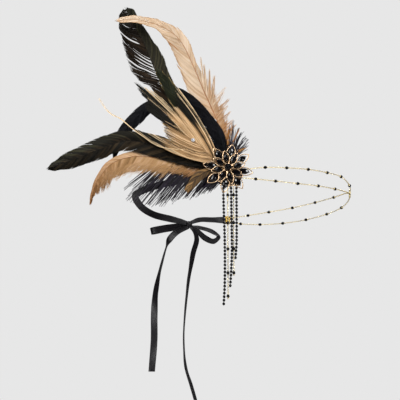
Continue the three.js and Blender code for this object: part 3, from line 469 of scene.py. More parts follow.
def foiled_crystal():
    """Clear cut glass with a silvered back under a glossy coat. Its bright, hard sparkle is painted into its
    colour as white glints.
    """
    made, tree, shader = new_material("clear_glass_silver_foiled_with_painted_glints")
    place = put(tree, "TexCoord")
    painted_glint = put(tree, "TexVoronoi", {"Scale": 1 / (CRYSTAL_PAINTED_GLINT * MM)}, {"Vector": place.outputs["Object"]})
    # White spots in the base colour are painted glints
    colour = put(tree, "ValToRGB", None, {"Fac": painted_glint.outputs["Distance"]},
                 [(0.1, "#ffffff"), (0.6, "#8b9099")])
    fill(tree, shader, {"Metallic": 0.2, "Roughness": 0.08, "Coat Weight": 1.0, "Coat Roughness": 0.02},
         {"Base Color": colour.outputs["Color"]})
    return made


def pressed_felt():
    """Black wool felt, pressed: matt, with tangled fibres."""
    made, tree, shader = new_material("black_wool_felt_pressed")
    place = put(tree, "TexCoord")
    fibre = put(tree, "TexNoise", {"Scale": 1 / (FELT_TANGLE * MM), "Detail": 6.0, "Distortion": 1.5},
                {"Vector": place.outputs["Object"]})
    colour = put(tree, "ValToRGB", None, {"Fac": fibre.outputs["Fac"]}, [(0.3, "#0c0c0e"), (0.75, "#29282c")])
    bump = put(tree, "Bump", {"Strength": 0.6, "Distance": 0.3 * MM}, {"Height": fibre.outputs["Fac"]})
    fill(tree, shader, {"Roughness": 0.95, "Specular IOR Level": 0.15, "Sheen Weight": 0.3},
         {"Base Color": colour.outputs["Color"], "Normal": bump.outputs["Normal"]})
    return made


def satin_weave():
    """Black polyester satin, woven: long floats along the ribbon give a soft silky streak."""
    made, tree, shader = new_material("black_polyester_satin_woven")
    across = put(tree, "Attribute", attribute_name="across")
    along = put(tree, "Attribute", attribute_name="along")
    threads = put(tree, "CombineXYZ", None, {0: across.outputs["Fac"], 1: along.outputs["Fac"]})
    scaled = put(tree, "Mapping", {"Scale": (1 / SATIN_THREAD, SATIN_FLOAT / SATIN_THREAD, 1.0)},
                 {"Vector": threads.outputs[0]})
    floats = put(tree, "TexNoise", {"Scale": 1.0, "Detail": 2.0}, {"Vector": scaled.outputs[0]})
    colour = put(tree, "ValToRGB", None, {"Fac": floats.outputs["Fac"]},
                 [(0.3, "#030204"), (0.75, "#0e0b10")])
    rough = put(tree, "MapRange", {3: 0.3, 4: 0.42}, {0: floats.outputs["Fac"]})
    bump = put(tree, "Bump", {"Strength": 0.1, "Distance": 0.05 * MM}, {"Height": floats.outputs["Fac"]})
    fill(tree, shader, {"IOR": 1.5, "Specular IOR Level": 0.2, "Sheen Weight": 0.02}, {
        "Base Color": colour.outputs["Color"], "Roughness": rough.outputs[0],
        "Normal": bump.outputs["Normal"],
    })
    return made


ROSE_GOLD = polished_gold("rose_gold_plating_polished", "#97744f", "#e2c8a8")
# Dark gold for the recesses, stone seats, hub and post: painted shade where the petals and stones shade them
GOLD_WITH_PAINTED_SHADE = polished_gold("gold_plating_painted_shade_in_recesses", "#2a1f12", "#6b5230")
DARK_GOLD = polished_gold("antique_gold_plating_stamped", "#6a5526", "#a68a46")
PALE_GOLD = polished_gold("pale_gold_plating_drawn_wire", "#c9b27c", "#eadba8")
CUT_BLACK = black_glass("black_crystal_cut_and_polished", (0.02, 0.05), 1.54, 0.2)
JET = black_glass("jet_glass_beads_tumbled", (0.2, 0.3), 1.52, 0.12)
CRYSTAL = foiled_crystal()
FELT = pressed_felt()
SATIN = satin_weave()
# Green-black coque: the bluish tip colour is painted sheen, and its greener lacing colours, laid over the tall
# feather's right vane, are painted sheen too
GREEN_BLACK = feather_finish(
    "coque_feather_dyed_green_black_with_painted_sheen", "#060403", "#170f0a", "#382a1c", "#080605",
    0.42, 0.12, ("#4a443c", "#b9c8c4", 0.3), "#d8d2c4", lace=("#1b1912", "#2f2c1f", "#45412f"))
# Its bluish tip colour is painted sheen
DEEP_GREEN = feather_finish(
    "coque_feather_dyed_deep_green_black_with_painted_sheen", "#020201", "#0d0a07", "#3a2e1e", "#050403",
    0.45, 0.1, ("#4a443c", "#c6d0cc", 0.3), "#d8d2c4", lace=("#11100b", "#232117", "#3a3727"))
BLUE_BLACK = feather_finish(
    "coque_feather_dyed_blue_black", "#020203", "#050506", "#121116", "#040405", 0.5, 0.1, tint="#c8ccd8")
LACED = feather_finish(
    "coque_feather_laced", "#0a0b06", "#16170f", "#2a2a18", "#110f0a",
    0.45, 0.18, tint="#c8d8b8", lace=("#120f0a", "#7d6a40", "#b79a6c"))
PEACH = feather_finish(
    "hackle_feather_dyed_peach", "#6b4a22", "#a07b50", "#c0a080", "#704826",
    0.62, 0.2, ("#d8b488", "#a88a5c", 0.3), sheen=0.12)
PALE_PEACH = feather_finish(
    "hackle_feather_dyed_pale_peach", "#98754f", "#b8a086", "#c8baa8", "#8a5628",
    0.62, 0.2, ("#e0a424", "#ffffff", 0.42), sheen=0.12)
GOLDEN = feather_finish(
    "hackle_feather_golden_laced", "#2a1e10", "#a58259", "#d1b189", "#6b5030",
    0.55, 0.12, lace=("#0f0e08", "#242012", "#cfb690"))
OCHRE = feather_finish("hackle_feather_ochre", "#160e06", "#4e381b", "#8a683c", "#2c1f0e", 0.6, 0.2)
DOWN = feather_finish("marabou_down_dyed_black", "#030205", "#0a070d", "#20172a", "#050406", 0.5, 0.18)


# Feathers
def strips(centre, facing, half, tilt, **values):
    """Flat strips along their centre lines, with a half width along them and a tilt about them."""
    heading = unit(np.gradient(centre, axis=1))
    side = unit(np.cross(facing, heading))
    rise = np.cross(heading, side)
    lean = side * np.cos(tilt)[:, None, None] + rise * np.sin(tilt)[:, None, None]
    reach = half[..., None] * lean
    grid = np.stack([centre - reach, centre + reach], axis=2)
    return bundle(grid, **{name: value[..., None] for name, value in values.items()})


def shaft_tube(shaft, thick=0.55, thin=0.12, sides=6):
    """Round, tapering shaft from the quill to the tip."""
    share = np.linspace(0, 1, 70)
    radius = thick + (thin - thick) * share**0.7
    angle = circle(sides)
    place = on_shaft(shaft, share, "place")[:, None]
    ring = (np.cos(angle)[None, :, None] * on_shaft(shaft, share, "across")[:, None]
            + np.sin(angle)[None, :, None] * on_shaft(shaft, share, "face")[:, None])
    grid = place + radius[:, None, None] * ring
    return bundle(grid[None], wrap_columns=True, tone=0.5, shaft=1.0, along=share[None, :, None])


def lock_numbers(count, size):
    """Number of the lock that each barb lies in, with locks of uneven size."""
    cuts = np.cumsum(np.maximum(2, draw.normal(size, 0.35 * size, 4 + int(3 * count / size))))
    return np.searchsorted(cuts, np.arange(count))


def streak_tones(count, size):
    """Tone for each barb: streaks of a few barbs that differ from each other, and a little of its own."""
    streaks = lock_numbers(count, size)
    shared = draw.uniform(0, 1, streaks.max() + 1)[streaks]
    own = draw.uniform(0, 1, count)
    return np.clip(0.7 * shared + 0.3 * own, 0, 1)


def lock_means(numbers, values):
    """Mean of a lock's values, for each of its barbs."""
    totals = np.bincount(numbers, values)
    return (totals / np.maximum(np.bincount(numbers), 1))[numbers]


def lock_draws(numbers, spread):
    """One random value for each lock, for each of its barbs."""
    return draw.normal(0, spread, numbers.max() + 1)[numbers]


def combed(share, root, u, combs):
    """Barbs drawn together in lines from their roots to where each line closes."""
    for first, last, lines, closes in combs:
        step = (last - first) / lines
        line = np.floor((root - first) / step)
        inside = (root > first) & (root < last)
        drawn = np.where(inside, first + (line + 0.5) * step - root, 0)
        close_at = closes + 0.12 * np.sin(2.4 * line)[:, None]
        held = 1 - eased(u, close_at - 0.15, close_at)
        share = share + 0.48 * drawn[:, None] * held
    return share


def slit(share, root, u, splits, length):
    """Barbs pushed apart at slits, from where each slit opens to where it closes."""
    for place, gap, opens, closes in splits:
        away = (root - place) * length
        push = np.sign(away) * 0.5 * gap / length * np.exp(-np.abs(away) / (1.2 * gap))
        share = share + push[:, None] * eased(u, opens, opens + 0.15) * (1 - eased(u, closes - 0.25, closes))
    return share


def vane(shaft, word, make, start=0.1, end=0.985, splits=(), combs=(), bare=(), lace_and_sheen_from=None, shade=0.0,
         edge=0.0):
    """Barbs of one side of a vane. They leave the shaft at their lean and end on the vane's outline. A slit
    has its place on the shaft, its width in mm and the parts of the barb where it opens and closes. A comb has
    its first and last place, its count of lines and where they close. Between two places the barbs' feet can
    be bare. The shade lightens the whole side and the edge darkens the tips."""
    length = shaft["length"]
    make = dict(zip(BARBS.split(), make))
    count = int((end - start) * length / make["spacing"])
    root = np.linspace(start, end, count) + draw.normal(0, 0.15, count) * make["spacing"] / length
    numbers = lock_numbers(count, make["lock"])
    middle = lock_means(numbers, root)
    wide = on_shaft(shaft, root, word)
    lean = np.radians(make["lean"] - make["close"] * root)
    sweep = np.minimum(wide / np.tan(lean) / length, BARB_LAST - root)
    reach = 1 + lock_draws(numbers, make["ragged"]) + draw.normal(0, 0.5 * make["ragged"], count)
    u = np.linspace(0, 1, BARB_ROWS)[None, :]
    out = 1 - (1 - u) ** (1 + 1.5 * BARB_CURL)
    share = root[:, None] + sweep[:, None] * reach[:, None] * u ** (1 + BARB_CURL)
    share = share + (middle - root)[:, None] * make["pinch"] * out**2
    share = slit(combed(share, root, u, combs), root, u, splits, length)
    share = np.clip(share, 0, 1)
    spread = SIDES[word] * on_shaft(shaft, share, word) * out * reach[:, None]
    lift = lock_draws(numbers, 0.12)[:, None] * out
    cup = make["camber"] * eased(root, start, start + 0.16)
    rise = lift - cup[:, None] * out**2
    centre = (on_shaft(shaft, share, "place") + spread[..., None] * on_shaft(shaft, share, "across")
              + rise[..., None] * on_shaft(shaft, share, "face"))
    half = make["spacing"] * make["fill"] * (1 - 0.75 * eased(u, 0.8, 1.0)) * np.ones((count, 1))
    if bare:
        worn = eased(root, bare[0], bare[0] + 0.03) * (1 - eased(root, bare[1] - 0.03, bare[1]))
        half = half * (1 - 0.96 * worn[:, None] * (1 - eased(u, 0.0, 0.14)))
    tilt = 0.35 + draw.normal(0, 0.2, count)
    tone = 0.5 + shade + make["streak"] * (streak_tones(count, 6) - 0.5)
    tone = tone[:, None] - edge * eased(u, 0.72, 1.0)
    laced = eased(out, lace_and_sheen_from, lace_and_sheen_from + 0.08) if lace_and_sheen_from else np.zeros_like(u)
    return strips(
        centre, on_shaft(shaft, share, "face"), half, tilt,
        tone=np.clip(tone, 0, 1), along=share,
        laced=np.broadcast_to(laced, share.shape), shaft=np.zeros_like(share),
    )


def strands(root, bend, tip, thick, thin, tone, laced=None, along=None, rows=10):
    """Loose barbs from root to tip past a bend."""
    u = np.linspace(0, 1, rows)[None, :, None]
    centre = (1 - u) ** 2 * root[:, None] + 2 * u * (1 - u) * bend[:, None] + u**2 * tip[:, None]
    share = np.broadcast_to(u[..., 0], centre.shape[:2])
    half = thick + (thin - thick) * share**1.5
    facing = np.broadcast_to(FRONT, centre.shape)
    tilt = draw.normal(0, 0.5, len(root))
    edge = np.zeros_like(share) if laced is None else eased(share, laced[:, None], laced[:, None] + 0.12)
    place = share if along is None else np.broadcast_to(along[:, None], share.shape)
    return strips(centre, facing, half, tilt, tone=np.broadcast_to(tone[:, None], share.shape), along=place,
                  laced=edge, shaft=np.zeros_like(share))


# How far the tips of a fringe bend towards the feather's tip, in mm
FRINGE_BEND = 2.0


def fringe(shaft, side, first, last, count, lock, reach, lean, close=0.0, gather=0.8, fade=0.5, streak=1.0):
    """Loose barbs along one side of a vane, drawn together in locks. The reach is one length or several that
    are spread evenly, and the lean closes towards the tip."""
    root_share = np.sort(draw.uniform(first, last, count))
    numbers = lock_numbers(count, lock)
    middle = lock_means(numbers, root_share)
    shares = (root_share - first) / (last - first)
    lean = np.radians(lean - close * shares)
    lean = lean + lock_draws(numbers, 0.1) + draw.normal(0, 0.04, count)
    uneven = lock_draws(numbers, 0.14) + draw.normal(0, 0.06, count)
    reach = np.atleast_1d(reach)
    long = np.interp(shares, np.linspace(0, 1, len(reach)), reach) * (1 + uneven)
    long = (long * (1 - fade * eased(shares, 0.45, 1.0)))[:, None]
    root = on_shaft(shaft, root_share, "place") - 0.4 * on_shaft(shaft, root_share, "face")
    start = root_share + (middle - root_share) * gather
    along = on_shaft(shaft, start, "along")
    across = on_shaft(shaft, start, "across")

    def leaning(angle):
        return side * np.sin(angle)[:, None] * across + np.cos(angle)[:, None] * along

    tip = on_shaft(shaft, start, "place") + long * leaning(lean) + FRINGE_BEND * along
    tip = tip + draw.normal(0, 0.35, (count, 3))
    curve = root + 0.5 * long * leaning(lean + 0.12)
    tone = 0.5 + streak * (streak_tones(count, 5) - 0.5)
    return strands(root, curve, tip, LOOSE_BARB, LOOSE_TIP, tone, along=root_share)


def plain_feather(name, material, extra=None, both=None, left=None, right=None):
    """Shaft with a vane on both sides, and what is loose on it."""
    shaft = shaft_of(name)
    parts = [shaft_tube(shaft)]
    for word, own in (("left", left), ("right", right)):
        parts.append(vane(shaft, word, VANES[name][word], **(both or {}), **(own or {})))
    if extra:
        parts.extend(extra(shaft))
    piece(name + "_barbs", parts, material, [name], weld=False)


# Long locks on the right of the tall peach feather: where each leaves the shaft, where it ends and its count
# of barbs. The lowest hang in front of the black tuft
TALL_LOCKS = columns("share x y z barbs", [
    (0.43, -41.2, -84.5, 97, 24),
    (0.405, -37.4, -84.5, 103.5, 28),
    (0.38, -34.4, -84.5, 97, 26),
    (0.345, -29.7, -84.5, 92.5, 24),
    (0.32, -25.4, -84.5, 86.5, 22),
    (0.31, -14.3, -84.5, 76.5, 7),
    (0.3, -16.5, -84.5, 72, 8),
    (0.275, -11.8, -84.5, 65.5, 12),
    (0.25, -13.5, -84.5, 59, 14),
    (0.22, -11, -84.5, 53.8, 12),
    (0.18, -8.6, -84.5, 46.5, 10),
    (0.15, -5.6, -84.5, 43, 7),
    (0.1, -9.4, -87, 43.5, 12),
    (0.08, -13.3, -87, 39, 12),
    (0.07, -3.2, -87, 38, 6),
    (0.06, 2.9, -87, 20.7, 8),
])


def tall_locks(shaft):
    """Locks that end in fine tips."""
    barbs = TALL_LOCKS["barbs"].astype(int)
    rows = {key: np.repeat(values, barbs) for key, values in TALL_LOCKS.items()}
    count = len(rows["x"])
    share = rows["share"] + draw.normal(0, 0.012, count)
    root = on_shaft(shaft, share, "place") + 0.5 * on_shaft(shaft, share, "across")
    tip = xyz(rows["x"], rows["y"], rows["z"])
    tip = root + (tip - root) * (1 - np.abs(draw.normal(0, 0.09, count)))[:, None]
    tip = tip + draw.normal(0, (0.5, 0.3, 0.3), (count, 3))
    bend = 0.5 * (root + tip) + draw.normal(1.0, 0.4, (count, 1)) * on_shaft(shaft, share, "across")
    return strands(root, bend, tip, LOOSE_BARB, LOOSE_TIP, streak_tones(count, 4), along=share)


# Painted shadows of the folds where the tall peach feather turns over: start and end of each dark line
FOLD_SHADOWS = columns("x z end_x end_z", [
    (-65.6, 115, -55.8, 107.3),
    (-64.6, 114, -56.5, 107.4),
    (-57.5, 117.5, -53.6, 110.4),
])


def painted_fold_shadows():
    """Painted shadows of the folds: fine dark lines in the colour of the shaft."""
    root = xyz(FOLD_SHADOWS["x"], -91.5, FOLD_SHADOWS["z"])
    tip = xyz(FOLD_SHADOWS["end_x"], -90.5, FOLD_SHADOWS["end_z"])
    made = strands(root, 0.5 * (root + tip), tip, 0.3, 0.1, np.full(len(root), 0.2))
    # The shaft's colour paints the fold shadows dark
    made["values"]["shaft"] = np.ones(len(made["points"]))
    return made


def peach_tall_fringe(shaft):
    """Locks and loose barbs on the right, and the painted shadows of the folds at the turn."""
    return [
        tall_locks(shaft),
        fringe(shaft, 1, 0.16, 0.42, 200, 9, 14.0, 30, fade=0.4),
        fringe(shaft, 1, 0.1, 0.32, 150, 7, 13.0, 34),
        fringe(shaft, 1, 0.03, 0.2, 170, 6, (11, 15, 14), 22, fade=0.2),
        fringe(shaft, 1, 0.0, 0.09, 80, 8, (9, 12, 12), 34, fade=0.1),
        painted_fold_shadows(),
    ]


def peach_left_fringe(shaft):
    """Long loose barbs that hang from the lower side, and short ones on the upper side."""
    return [
        fringe(shaft, -1, 0.1, 0.9, 820, 7, (9, 12, 15, 18, 18, 13, 4), 64, 28, gather=0.55, fade=0.0,
               streak=0.4),
        fringe(shaft, -1, 0.3, 0.85, 200, 4, (15, 18, 20, 17, 7), 64, 28, fade=0.0, streak=0.8),
        fringe(shaft, 1, 0.08, 0.35, 120, 14, 7.0, 24, gather=0.3),
    ]


def wide_foot(shaft):
    """Down at the foot, and long soft barbs on the left that close the gap to the next feather."""
    return [
        fringe(shaft, 1, 0.03, 0.3, 160, 10, 9.0, 24, gather=0.4),
        fringe(shaft, -1, 0.03, 0.3, 220, 10, 13.0, 30, gather=0.4),
        fringe(shaft, -1, 0.05, 0.55, 260, 12, 17.0, 36, gather=0.3),
    ]


def base_down(shaft):
    """Soft down at the foot of a vane, on both sides of the shaft."""
    return [fringe(shaft, side, 0.03, 0.3, 220, 10, 13.0, 30, gather=0.4) for side in SIDES.values()]


# Golden hackle: a cut shaft whose barbs run on past it in two golden masses with a dark heart between them,
# and in thin lines and wings at the sides. Each group has a row for each place on the fan: where the barb
# leaves the shaft, where it ends, how far it bows outward, where its lacing begins and the shares of the
# lines that end pale and that are dark all along
GOLDEN_BASE = np.array([-20.5, -89.9, 5.6])
GOLDEN_CUT = np.array([-43.6, -91.1, 25.4])
FAN = "root x z bow laced pale dark"
GOLDEN_GROUPS = {
    "right band": dict(side=1, count=220, lock=9, gather=0.5, y=-91.4, thin=0.1, rows=[
        (0.0, -57.5, 74, 7, 0.35, 1.0, 0),
        (0.05, -58, 73.8, 6.8, 0.35, 0.5, 0.3),
        (0.09, -58.5, 73.5, 6.4, 0.35, 0.0, 0.6),
        (0.14, -60, 73, 6, 0.4, 0.75, 0.1),
        (0.2, -61.5, 69, 5.5, 0.5, 0.3, 0.35),
        (0.28, -62, 62, 4.5, 0.6, 0.3, 0.35),
    ]),
    "middle mass": dict(side=1, count=300, lock=3, gather=0.3, y=-91.3, thin=0.12, rows=[
        (0.3, -56.5, 55.5, 3, 0.93, 0.35, 0.05),
        (0.5, -60, 56, 2, 0.93, 0.35, 0.05),
        (0.7, -63, 55.5, 1.5, 0.93, 0.35, 0.05),
        (0.9, -67, 52.5, -1, 0.93, 0.35, 0.05),
        (1.0, -68, 48.8, -3, 0.93, 0.35, 0.08),
    ]),
    "upper lines": dict(side=1, count=300, lock=5, gather=0.5, y=-91.6, thin=0.1, rows=[
        (0.5, -70, 65, 3, 0.6, 0.3, 0.2),
        (0.65, -83, 73, 3, 0.5, 0.25, 0.3),
        (0.8, -96, 80, 3, 0.45, 0.2, 0.3),
        (0.88, -94, 75.5, 2, 0.45, 0.2, 0.3),
        (0.95, -91, 70, 2, 0.5, 0.25, 0.25),
        (1.0, -81, 63, 1, 0.75, 0.6, 0.12),
    ]),
    "dark heart": dict(side=-1, count=320, lock=3, gather=0.2, y=-92.1, thin=0.18, rows=[
        (1.0, -91, 69, 0, 0.12, 0, 0),
        (1.0, -84, 64, 0, 0.12, 0, 0),
        (1.0, -85, 61, 0, 0.12, 0, 0),
        (1.0, -86.5, 56.5, 0, 0.12, 0, 0),
        (1.0, -83, 51.5, 0, 0.12, 0, 0),
        (1.0, -77, 46.8, 0, 0.15, 0, 0),
        (1.0, -71, 43.5, 0, 0.25, 0, 0),
    ]),
    "lower mass": dict(side=-1, count=340, lock=3, gather=0.35, y=-91.2, thin=0.1, rows=[
        (1.0, -74.5, 48, -5, 0.88, 0.3, 0.06),
        (0.92, -72.5, 44, -2, 0.86, 0.3, 0.12),
        (0.85, -71.5, 41, 0, 0.86, 0.3, 0.05),
        (0.7, -70, 36, 2, 0.86, 0.3, 0.05),
        (0.5, -69, 31, 3.5, 0.84, 0.3, 0.08),
        (0.35, -68, 27, 5, 0.84, 0.3, 0.1),
        (0.2, -66, 22.5, 6, 0.84, 0.3, 0.1),
    ]),
    "lower wing": dict(side=-1, count=480, lock=8, gather=0.5, y=-91.6, thin=0.11, rows=[
        (0.45, -73, 30, 4, 0.85, 0.4, 0.08),
        (0.42, -79, 31.5, 6, 0.8, 0.35, 0.12),
        (0.38, -86, 33, 9, 0.7, 0.25, 0.2),
        (0.3, -94, 35, 12, 0.55, 0.15, 0.3),
        (0.15, -98, 37.5, 15, 0.6, 0.4, 0.2),
        (0.07, -84, 27, 11, 0.7, 0.5, 0.15),
        (0.0, -70, 19.5, 7, 0.75, 0.6, 0.1),
    ]),
}
GOLDEN_WISP = [
    (-44, -91.1, 17), (-72, -92.6, 19.5), (-88, -93, 29.5), (-97, -93, 36.5), (-106.3, -92.8, 44.6),
    (-113, -92.6, 48), (-118, -92.3, 52.5), (-125, -92, 63),
]


GOLDEN_WISP_HAIRS = 7


def golden_tones(pale, dark, numbers):
    """Tone for each barb of the fan: its line ends pale, ends dark or is dark all along."""
    line = draw.uniform(0, 1, numbers.max() + 1)[numbers]
    tone = np.where(line < pale, draw.uniform(0.75, 1.0, len(pale)), draw.uniform(0.35, 0.52, len(pale)))
    return np.where(line > 1 - dark, draw.uniform(0.0, 0.15, len(pale)), tone)


def golden_group(group):
    """One group of the golden fan: its barbs are spread evenly over the rows of its table."""
    count = group["count"]
    rows = columns(FAN, group["rows"])
    steps = np.arange(len(rows["x"]))
    numbers = lock_numbers(count, group["lock"])
    place = np.linspace(0, steps[-1], count)
    gathered = place + (lock_means(numbers, place) - place) * group["gather"]
    at = {key: np.interp(gathered, steps, values) for key, values in rows.items()}
    root = GOLDEN_BASE + (GOLDEN_CUT - GOLDEN_BASE) * np.interp(place, steps, rows["root"])[:, None]
    tip = xyz(at["x"], group["y"] + draw.normal(0, 0.5, count), at["z"])
    shorter = 1 - np.abs(draw.normal(0, 0.07, count)) - np.abs(lock_draws(numbers, 0.05))
    tip = root + (tip - root) * shorter[:, None]
    bulge = group["side"] * np.cross(unit(tip - root), FRONT) * at["bow"][:, None]
    bend = 0.55 * root + 0.45 * tip + bulge
    bend[:, 1] -= 0.6
    tone = golden_tones(at["pale"], at["dark"], numbers)
    return strands(root, bend, tip, 0.22, group["thin"], tone, at["laced"], rows=16)


def golden_wisp():
    """Long pale hairs that run out to the left."""
    line = smooth_path(GOLDEN_WISP, 8)
    hairs = GOLDEN_WISP_HAIRS
    spread = np.cumsum(draw.normal(0, 0.05, (hairs, len(line), 3)), axis=1)
    centre = line[None] + spread * np.linspace(0, 1, len(line))[None, :, None]
    half = np.linspace(0.28, 0.05, len(line))[None, :] * np.ones((hairs, 1))
    blank = np.zeros(centre.shape[:2])
    return strips(centre, np.broadcast_to(FRONT, centre.shape), half, draw.normal(0, 0.4, hairs),
                  tone=blank + 0.85, along=blank, laced=blank + 1, shaft=blank)


def golden_hackle():
    parts = [golden_group(group) for group in GOLDEN_GROUPS.values()]
    parts.append(golden_wisp())
    piece("golden_hackle_barbs", parts, GOLDEN, ["golden_hackle"], weld=False)


# Tufts of loose down: a row for each place along the tuft, with the root and the tip of its hairs. The clumps
# stand closer together towards the last row
HAIRS_IN_CLUMP = 3
CLUMP_SPREAD = 0.72
TUFT = "root_x root_z x y z"
TUFTS = {
    "black_fluff": dict(angle=200, layer=-84.2, stem=(-52, -83.8, -4), clumps=170, bow=0.8, rows=[
        (-76, 8, -105, -82.6, -13.5),
        (-71, 7, -102, -82.4, -21),
        (-66, 6, -97, -82.6, -27.5),
        (-60, 4, -89, -82.4, -29.5),
        (-54, 2, -81, -82.5, -30.5),
        (-49, 1, -74, -82.6, -30),
        (-44, 0, -67, -82.6, -28),
        (-39, -1, -60, -82.6, -26.5),
        (-34, -2, -53, -82.7, -24),
        (-29, -3, -46, -82.8, -23),
        (-24, -4, -40, -83, -22),
        (-20, -5, -33, -83.2, -19),
        (-17, -6, -27, -83.4, -15.2),
    ]),
    "black_tuft": dict(angle=66, layer=-84.8, stem=(-9, -84.8, 17), clumps=42, bow=-1.5, rows=[
        (-11, 12, -10.8, -84.9, 47),
        (-10, 13, -6.5, -84.7, 43),
        (-9.5, 14, -2.3, -84.5, 38),
        (-9, 14, 2, -84.4, 33.5),
        (-9, 12, 4.6, -84.4, 28),
        (-10, 9, 2.8, -84.6, 20),
    ]),
}


def tuft(name):
    """Down that spreads from a short stem: fine hairs in small clumps."""
    row = TUFTS[name]
    rows = columns(TUFT, row["rows"])
    clumps = row["clumps"]
    count = clumps * HAIRS_IN_CLUMP
    steps = np.arange(len(rows["x"]))
    place = steps[-1] * np.linspace(0, 1, clumps) ** CLUMP_SPREAD + draw.normal(0, 0.08, clumps)
    at = {key: np.interp(place, steps, values) for key, values in rows.items()}
    start = xyz(at["root_x"], row["layer"], at["root_z"])
    end = xyz(at["x"], at["y"], at["z"])
    long = np.clip(1.05 - np.abs(draw.normal(0, 0.25, clumps)), 0.4, 1.05)[:, None]
    end = start + (end - start) * long + draw.normal(0, (1.2, 0.5, 1.2), (clumps, 3))
    aside = unit(np.cross(end - start, FRONT)) * draw.normal(row["bow"], 0.8, (clumps, 1))
    bend = 0.5 * (start + end) + aside
    root = np.repeat(start, HAIRS_IN_CLUMP, axis=0) + draw.normal(0, 0.5, (count, 3))
    tip = np.repeat(end, HAIRS_IN_CLUMP, axis=0) + draw.normal(0, 0.25, (count, 3))
    curve = np.repeat(bend, HAIRS_IN_CLUMP, axis=0) + draw.normal(0, 0.25, (count, 3))
    hairs = strands(root, curve, tip, 0.28, 0.1, draw.uniform(0, 1, count), rows=14)
    line = np.linspace(quill_foot(row), row["stem"], 8)[None]
    blank = np.zeros(line.shape[:2])
    stem = strips(line, np.broadcast_to(FRONT, line.shape), blank + 0.7, np.zeros(1),
                  tone=blank, along=blank, laced=blank, shaft=blank + 1)
    piece(name + "_strands", [hairs, stem], DOWN, [name], weld=False)


def make_feathers():
    plain_feather(
        "coque_tall", GREEN_BLACK,
        left=dict(
            combs=[(0.602, 0.688, 4, 0.6), (0.5, 0.58, 4, 0.32)],
            bare=(0.48, 0.7),
            splits=[
                (0.592, 2.2, 0.0, 1.4), (0.76, 2.4, 0.15, 1.4), (0.46, 1.2, 0.35, 1.4),
                (0.86, 1.0, 0.25, 0.8), (0.785, 0.9, 0.1, 0.55), (0.7, 1.0, 0.5, 0.95),
                (0.67, 1.0, 0.5, 0.95),
            ],
        ),
        # The right vane takes the lacing colours throughout: painted green sheen on that side
        right=dict(splits=[(0.8, 0.5, 0.5, 1.4)], lace_and_sheen_from=0.001),
    )
    plain_feather("peach_tall", PALE_PEACH, peach_tall_fringe, dict(edge=0.4), left=dict(start=0.24))
    plain_feather(
        "coque_left", DEEP_GREEN, base_down,
        left=dict(splits=[(0.6, 0.6, 0.5, 1.4)]),
        right=dict(splits=[(0.66, 1.2, 0.5, 1.4), (0.78, 1.2, 0.5, 1.4)], lace_and_sheen_from=0.3),
    )
    plain_feather("peach_left", PEACH, peach_left_fringe, dict(edge=0.2), right=dict(shade=0.25))
    plain_feather("coque_sickle", BLUE_BLACK)
    plain_feather("coque_back", BLUE_BLACK, wide_foot, dict(start=0.06))
    plain_feather("coque_small", LACED, both=dict(lace_and_sheen_from=0.82))
    plain_feather("ochre_hackle", OCHRE)
    golden_hackle()
    for name in TUFTS:
        tuft(name)


# Brooch: lengths run outward from the middle and depths run forward from the back
BROOCH_BACK_Y = -91.2
PETALS_IN_RING = 8
PETAL_RINGS = {
    "outer": dict(turn=79.6, inner=7.5, tip=21.6, half=3.6, depth=0.4, seat=14.3, length=4.3, width=2.6),
    "inner": dict(turn=102.1, inner=2.4, tip=14.9, half=3.0, depth=3.7, seat=8.4, length=3.8, width=2.2),
}
PETAL_WIRE = 0.42
CLAW_RADIUS = 0.24
STONE_CROWN = 1.4
STONE_TABLE = 0.4
STONE_REAR = 1.3
# Turned parts in the recesses: the radii and depths of their outlines, and their sides
TURNED_PARTS = {
    "plate": ((0, 8.6, 9, 9, 8.6, 0), (0, 0, 0.25, 0.95, 1.2, 1.2), 32),
    "hub": ((0, 2.9, 2.9, 2.6, 0), (0.6, 0.6, 5.5, 5.8, 5.8), 20),
    "post": ((0, 2.6, 2.6, 0), (-9.4, -9.4, 0.6, 0.6), 20),
}
# Bar that the strands hang from
HANGER_XS = (-18.6, -11.3, -4)
HANGER_Y = -91
HANGER_Z = -14.2
HANGER_RADIUS = 0.7
# Small stones on the hub: the turn and the distance from the middle, the radius and the height of each
CLUSTER_REAR = 6.1
CLUSTER_SEAT = 0.3
CLUSTER_PLATE = 2.85
CLUSTER_PLATE_THICK = 0.5
CLUSTER_STONES = [(0, 0.0, 1.2, 2.0)] + [(60 * k, 2.25, 0.95, 1.4) for k in range(6)]


def on_brooch(turn, outward, sideways, forward):
    """Places on the brooch from lengths along, across and in front of a petal turned by an angle."""
    angle = math.radians(turn)
    outward, sideways, forward = np.broadcast_arrays(outward, sideways, forward)
    return np.stack([
        POST_X + outward * math.cos(angle) - sideways * math.sin(angle),
        BROOCH_BACK_Y - forward,
        POST_Z + outward * math.sin(angle) + sideways * math.cos(angle),
    ], axis=-1)


def wire(path, radius, sides=8, closed=False):
    """Round wire along a path, closed on itself or with domed ends."""
    path = np.asarray(path, float)
    if closed:
        along = unit(np.roll(path, -1, axis=0) - np.roll(path, 1, axis=0))
    else:
        along = unit(np.gradient(path, axis=0))
    helper = np.where(np.abs(along[:, 1:2]) > 0.8, [[0.0, 0.0, 1.0]], [[0.0, 1.0, 0.0]])
    first = unit(np.cross(along, helper))
    second = np.cross(along, first)
    size = np.broadcast_to(np.asarray(radius, float), len(path))
    if not closed:
        tips = [path[:1] - along[:1] * size[0] * 0.4, path[-1:] + along[-1:] * size[-1] * 0.4]
        path = np.vstack([tips[0], path, tips[1]])
        first = np.vstack([first[:1], first, first[-1:]])
        second = np.vstack([second[:1], second, second[-1:]])
        size = np.concatenate([[0], size, [0]])
    angle = circle(sides)
    grid = path[:, None] + size[:, None, None] * (np.cos(angle)[None, :, None] * first[:, None]
                                                  + np.sin(angle)[None, :, None] * second[:, None])
    return bundle(grid[None], wrap_rows=closed, wrap_columns=True)


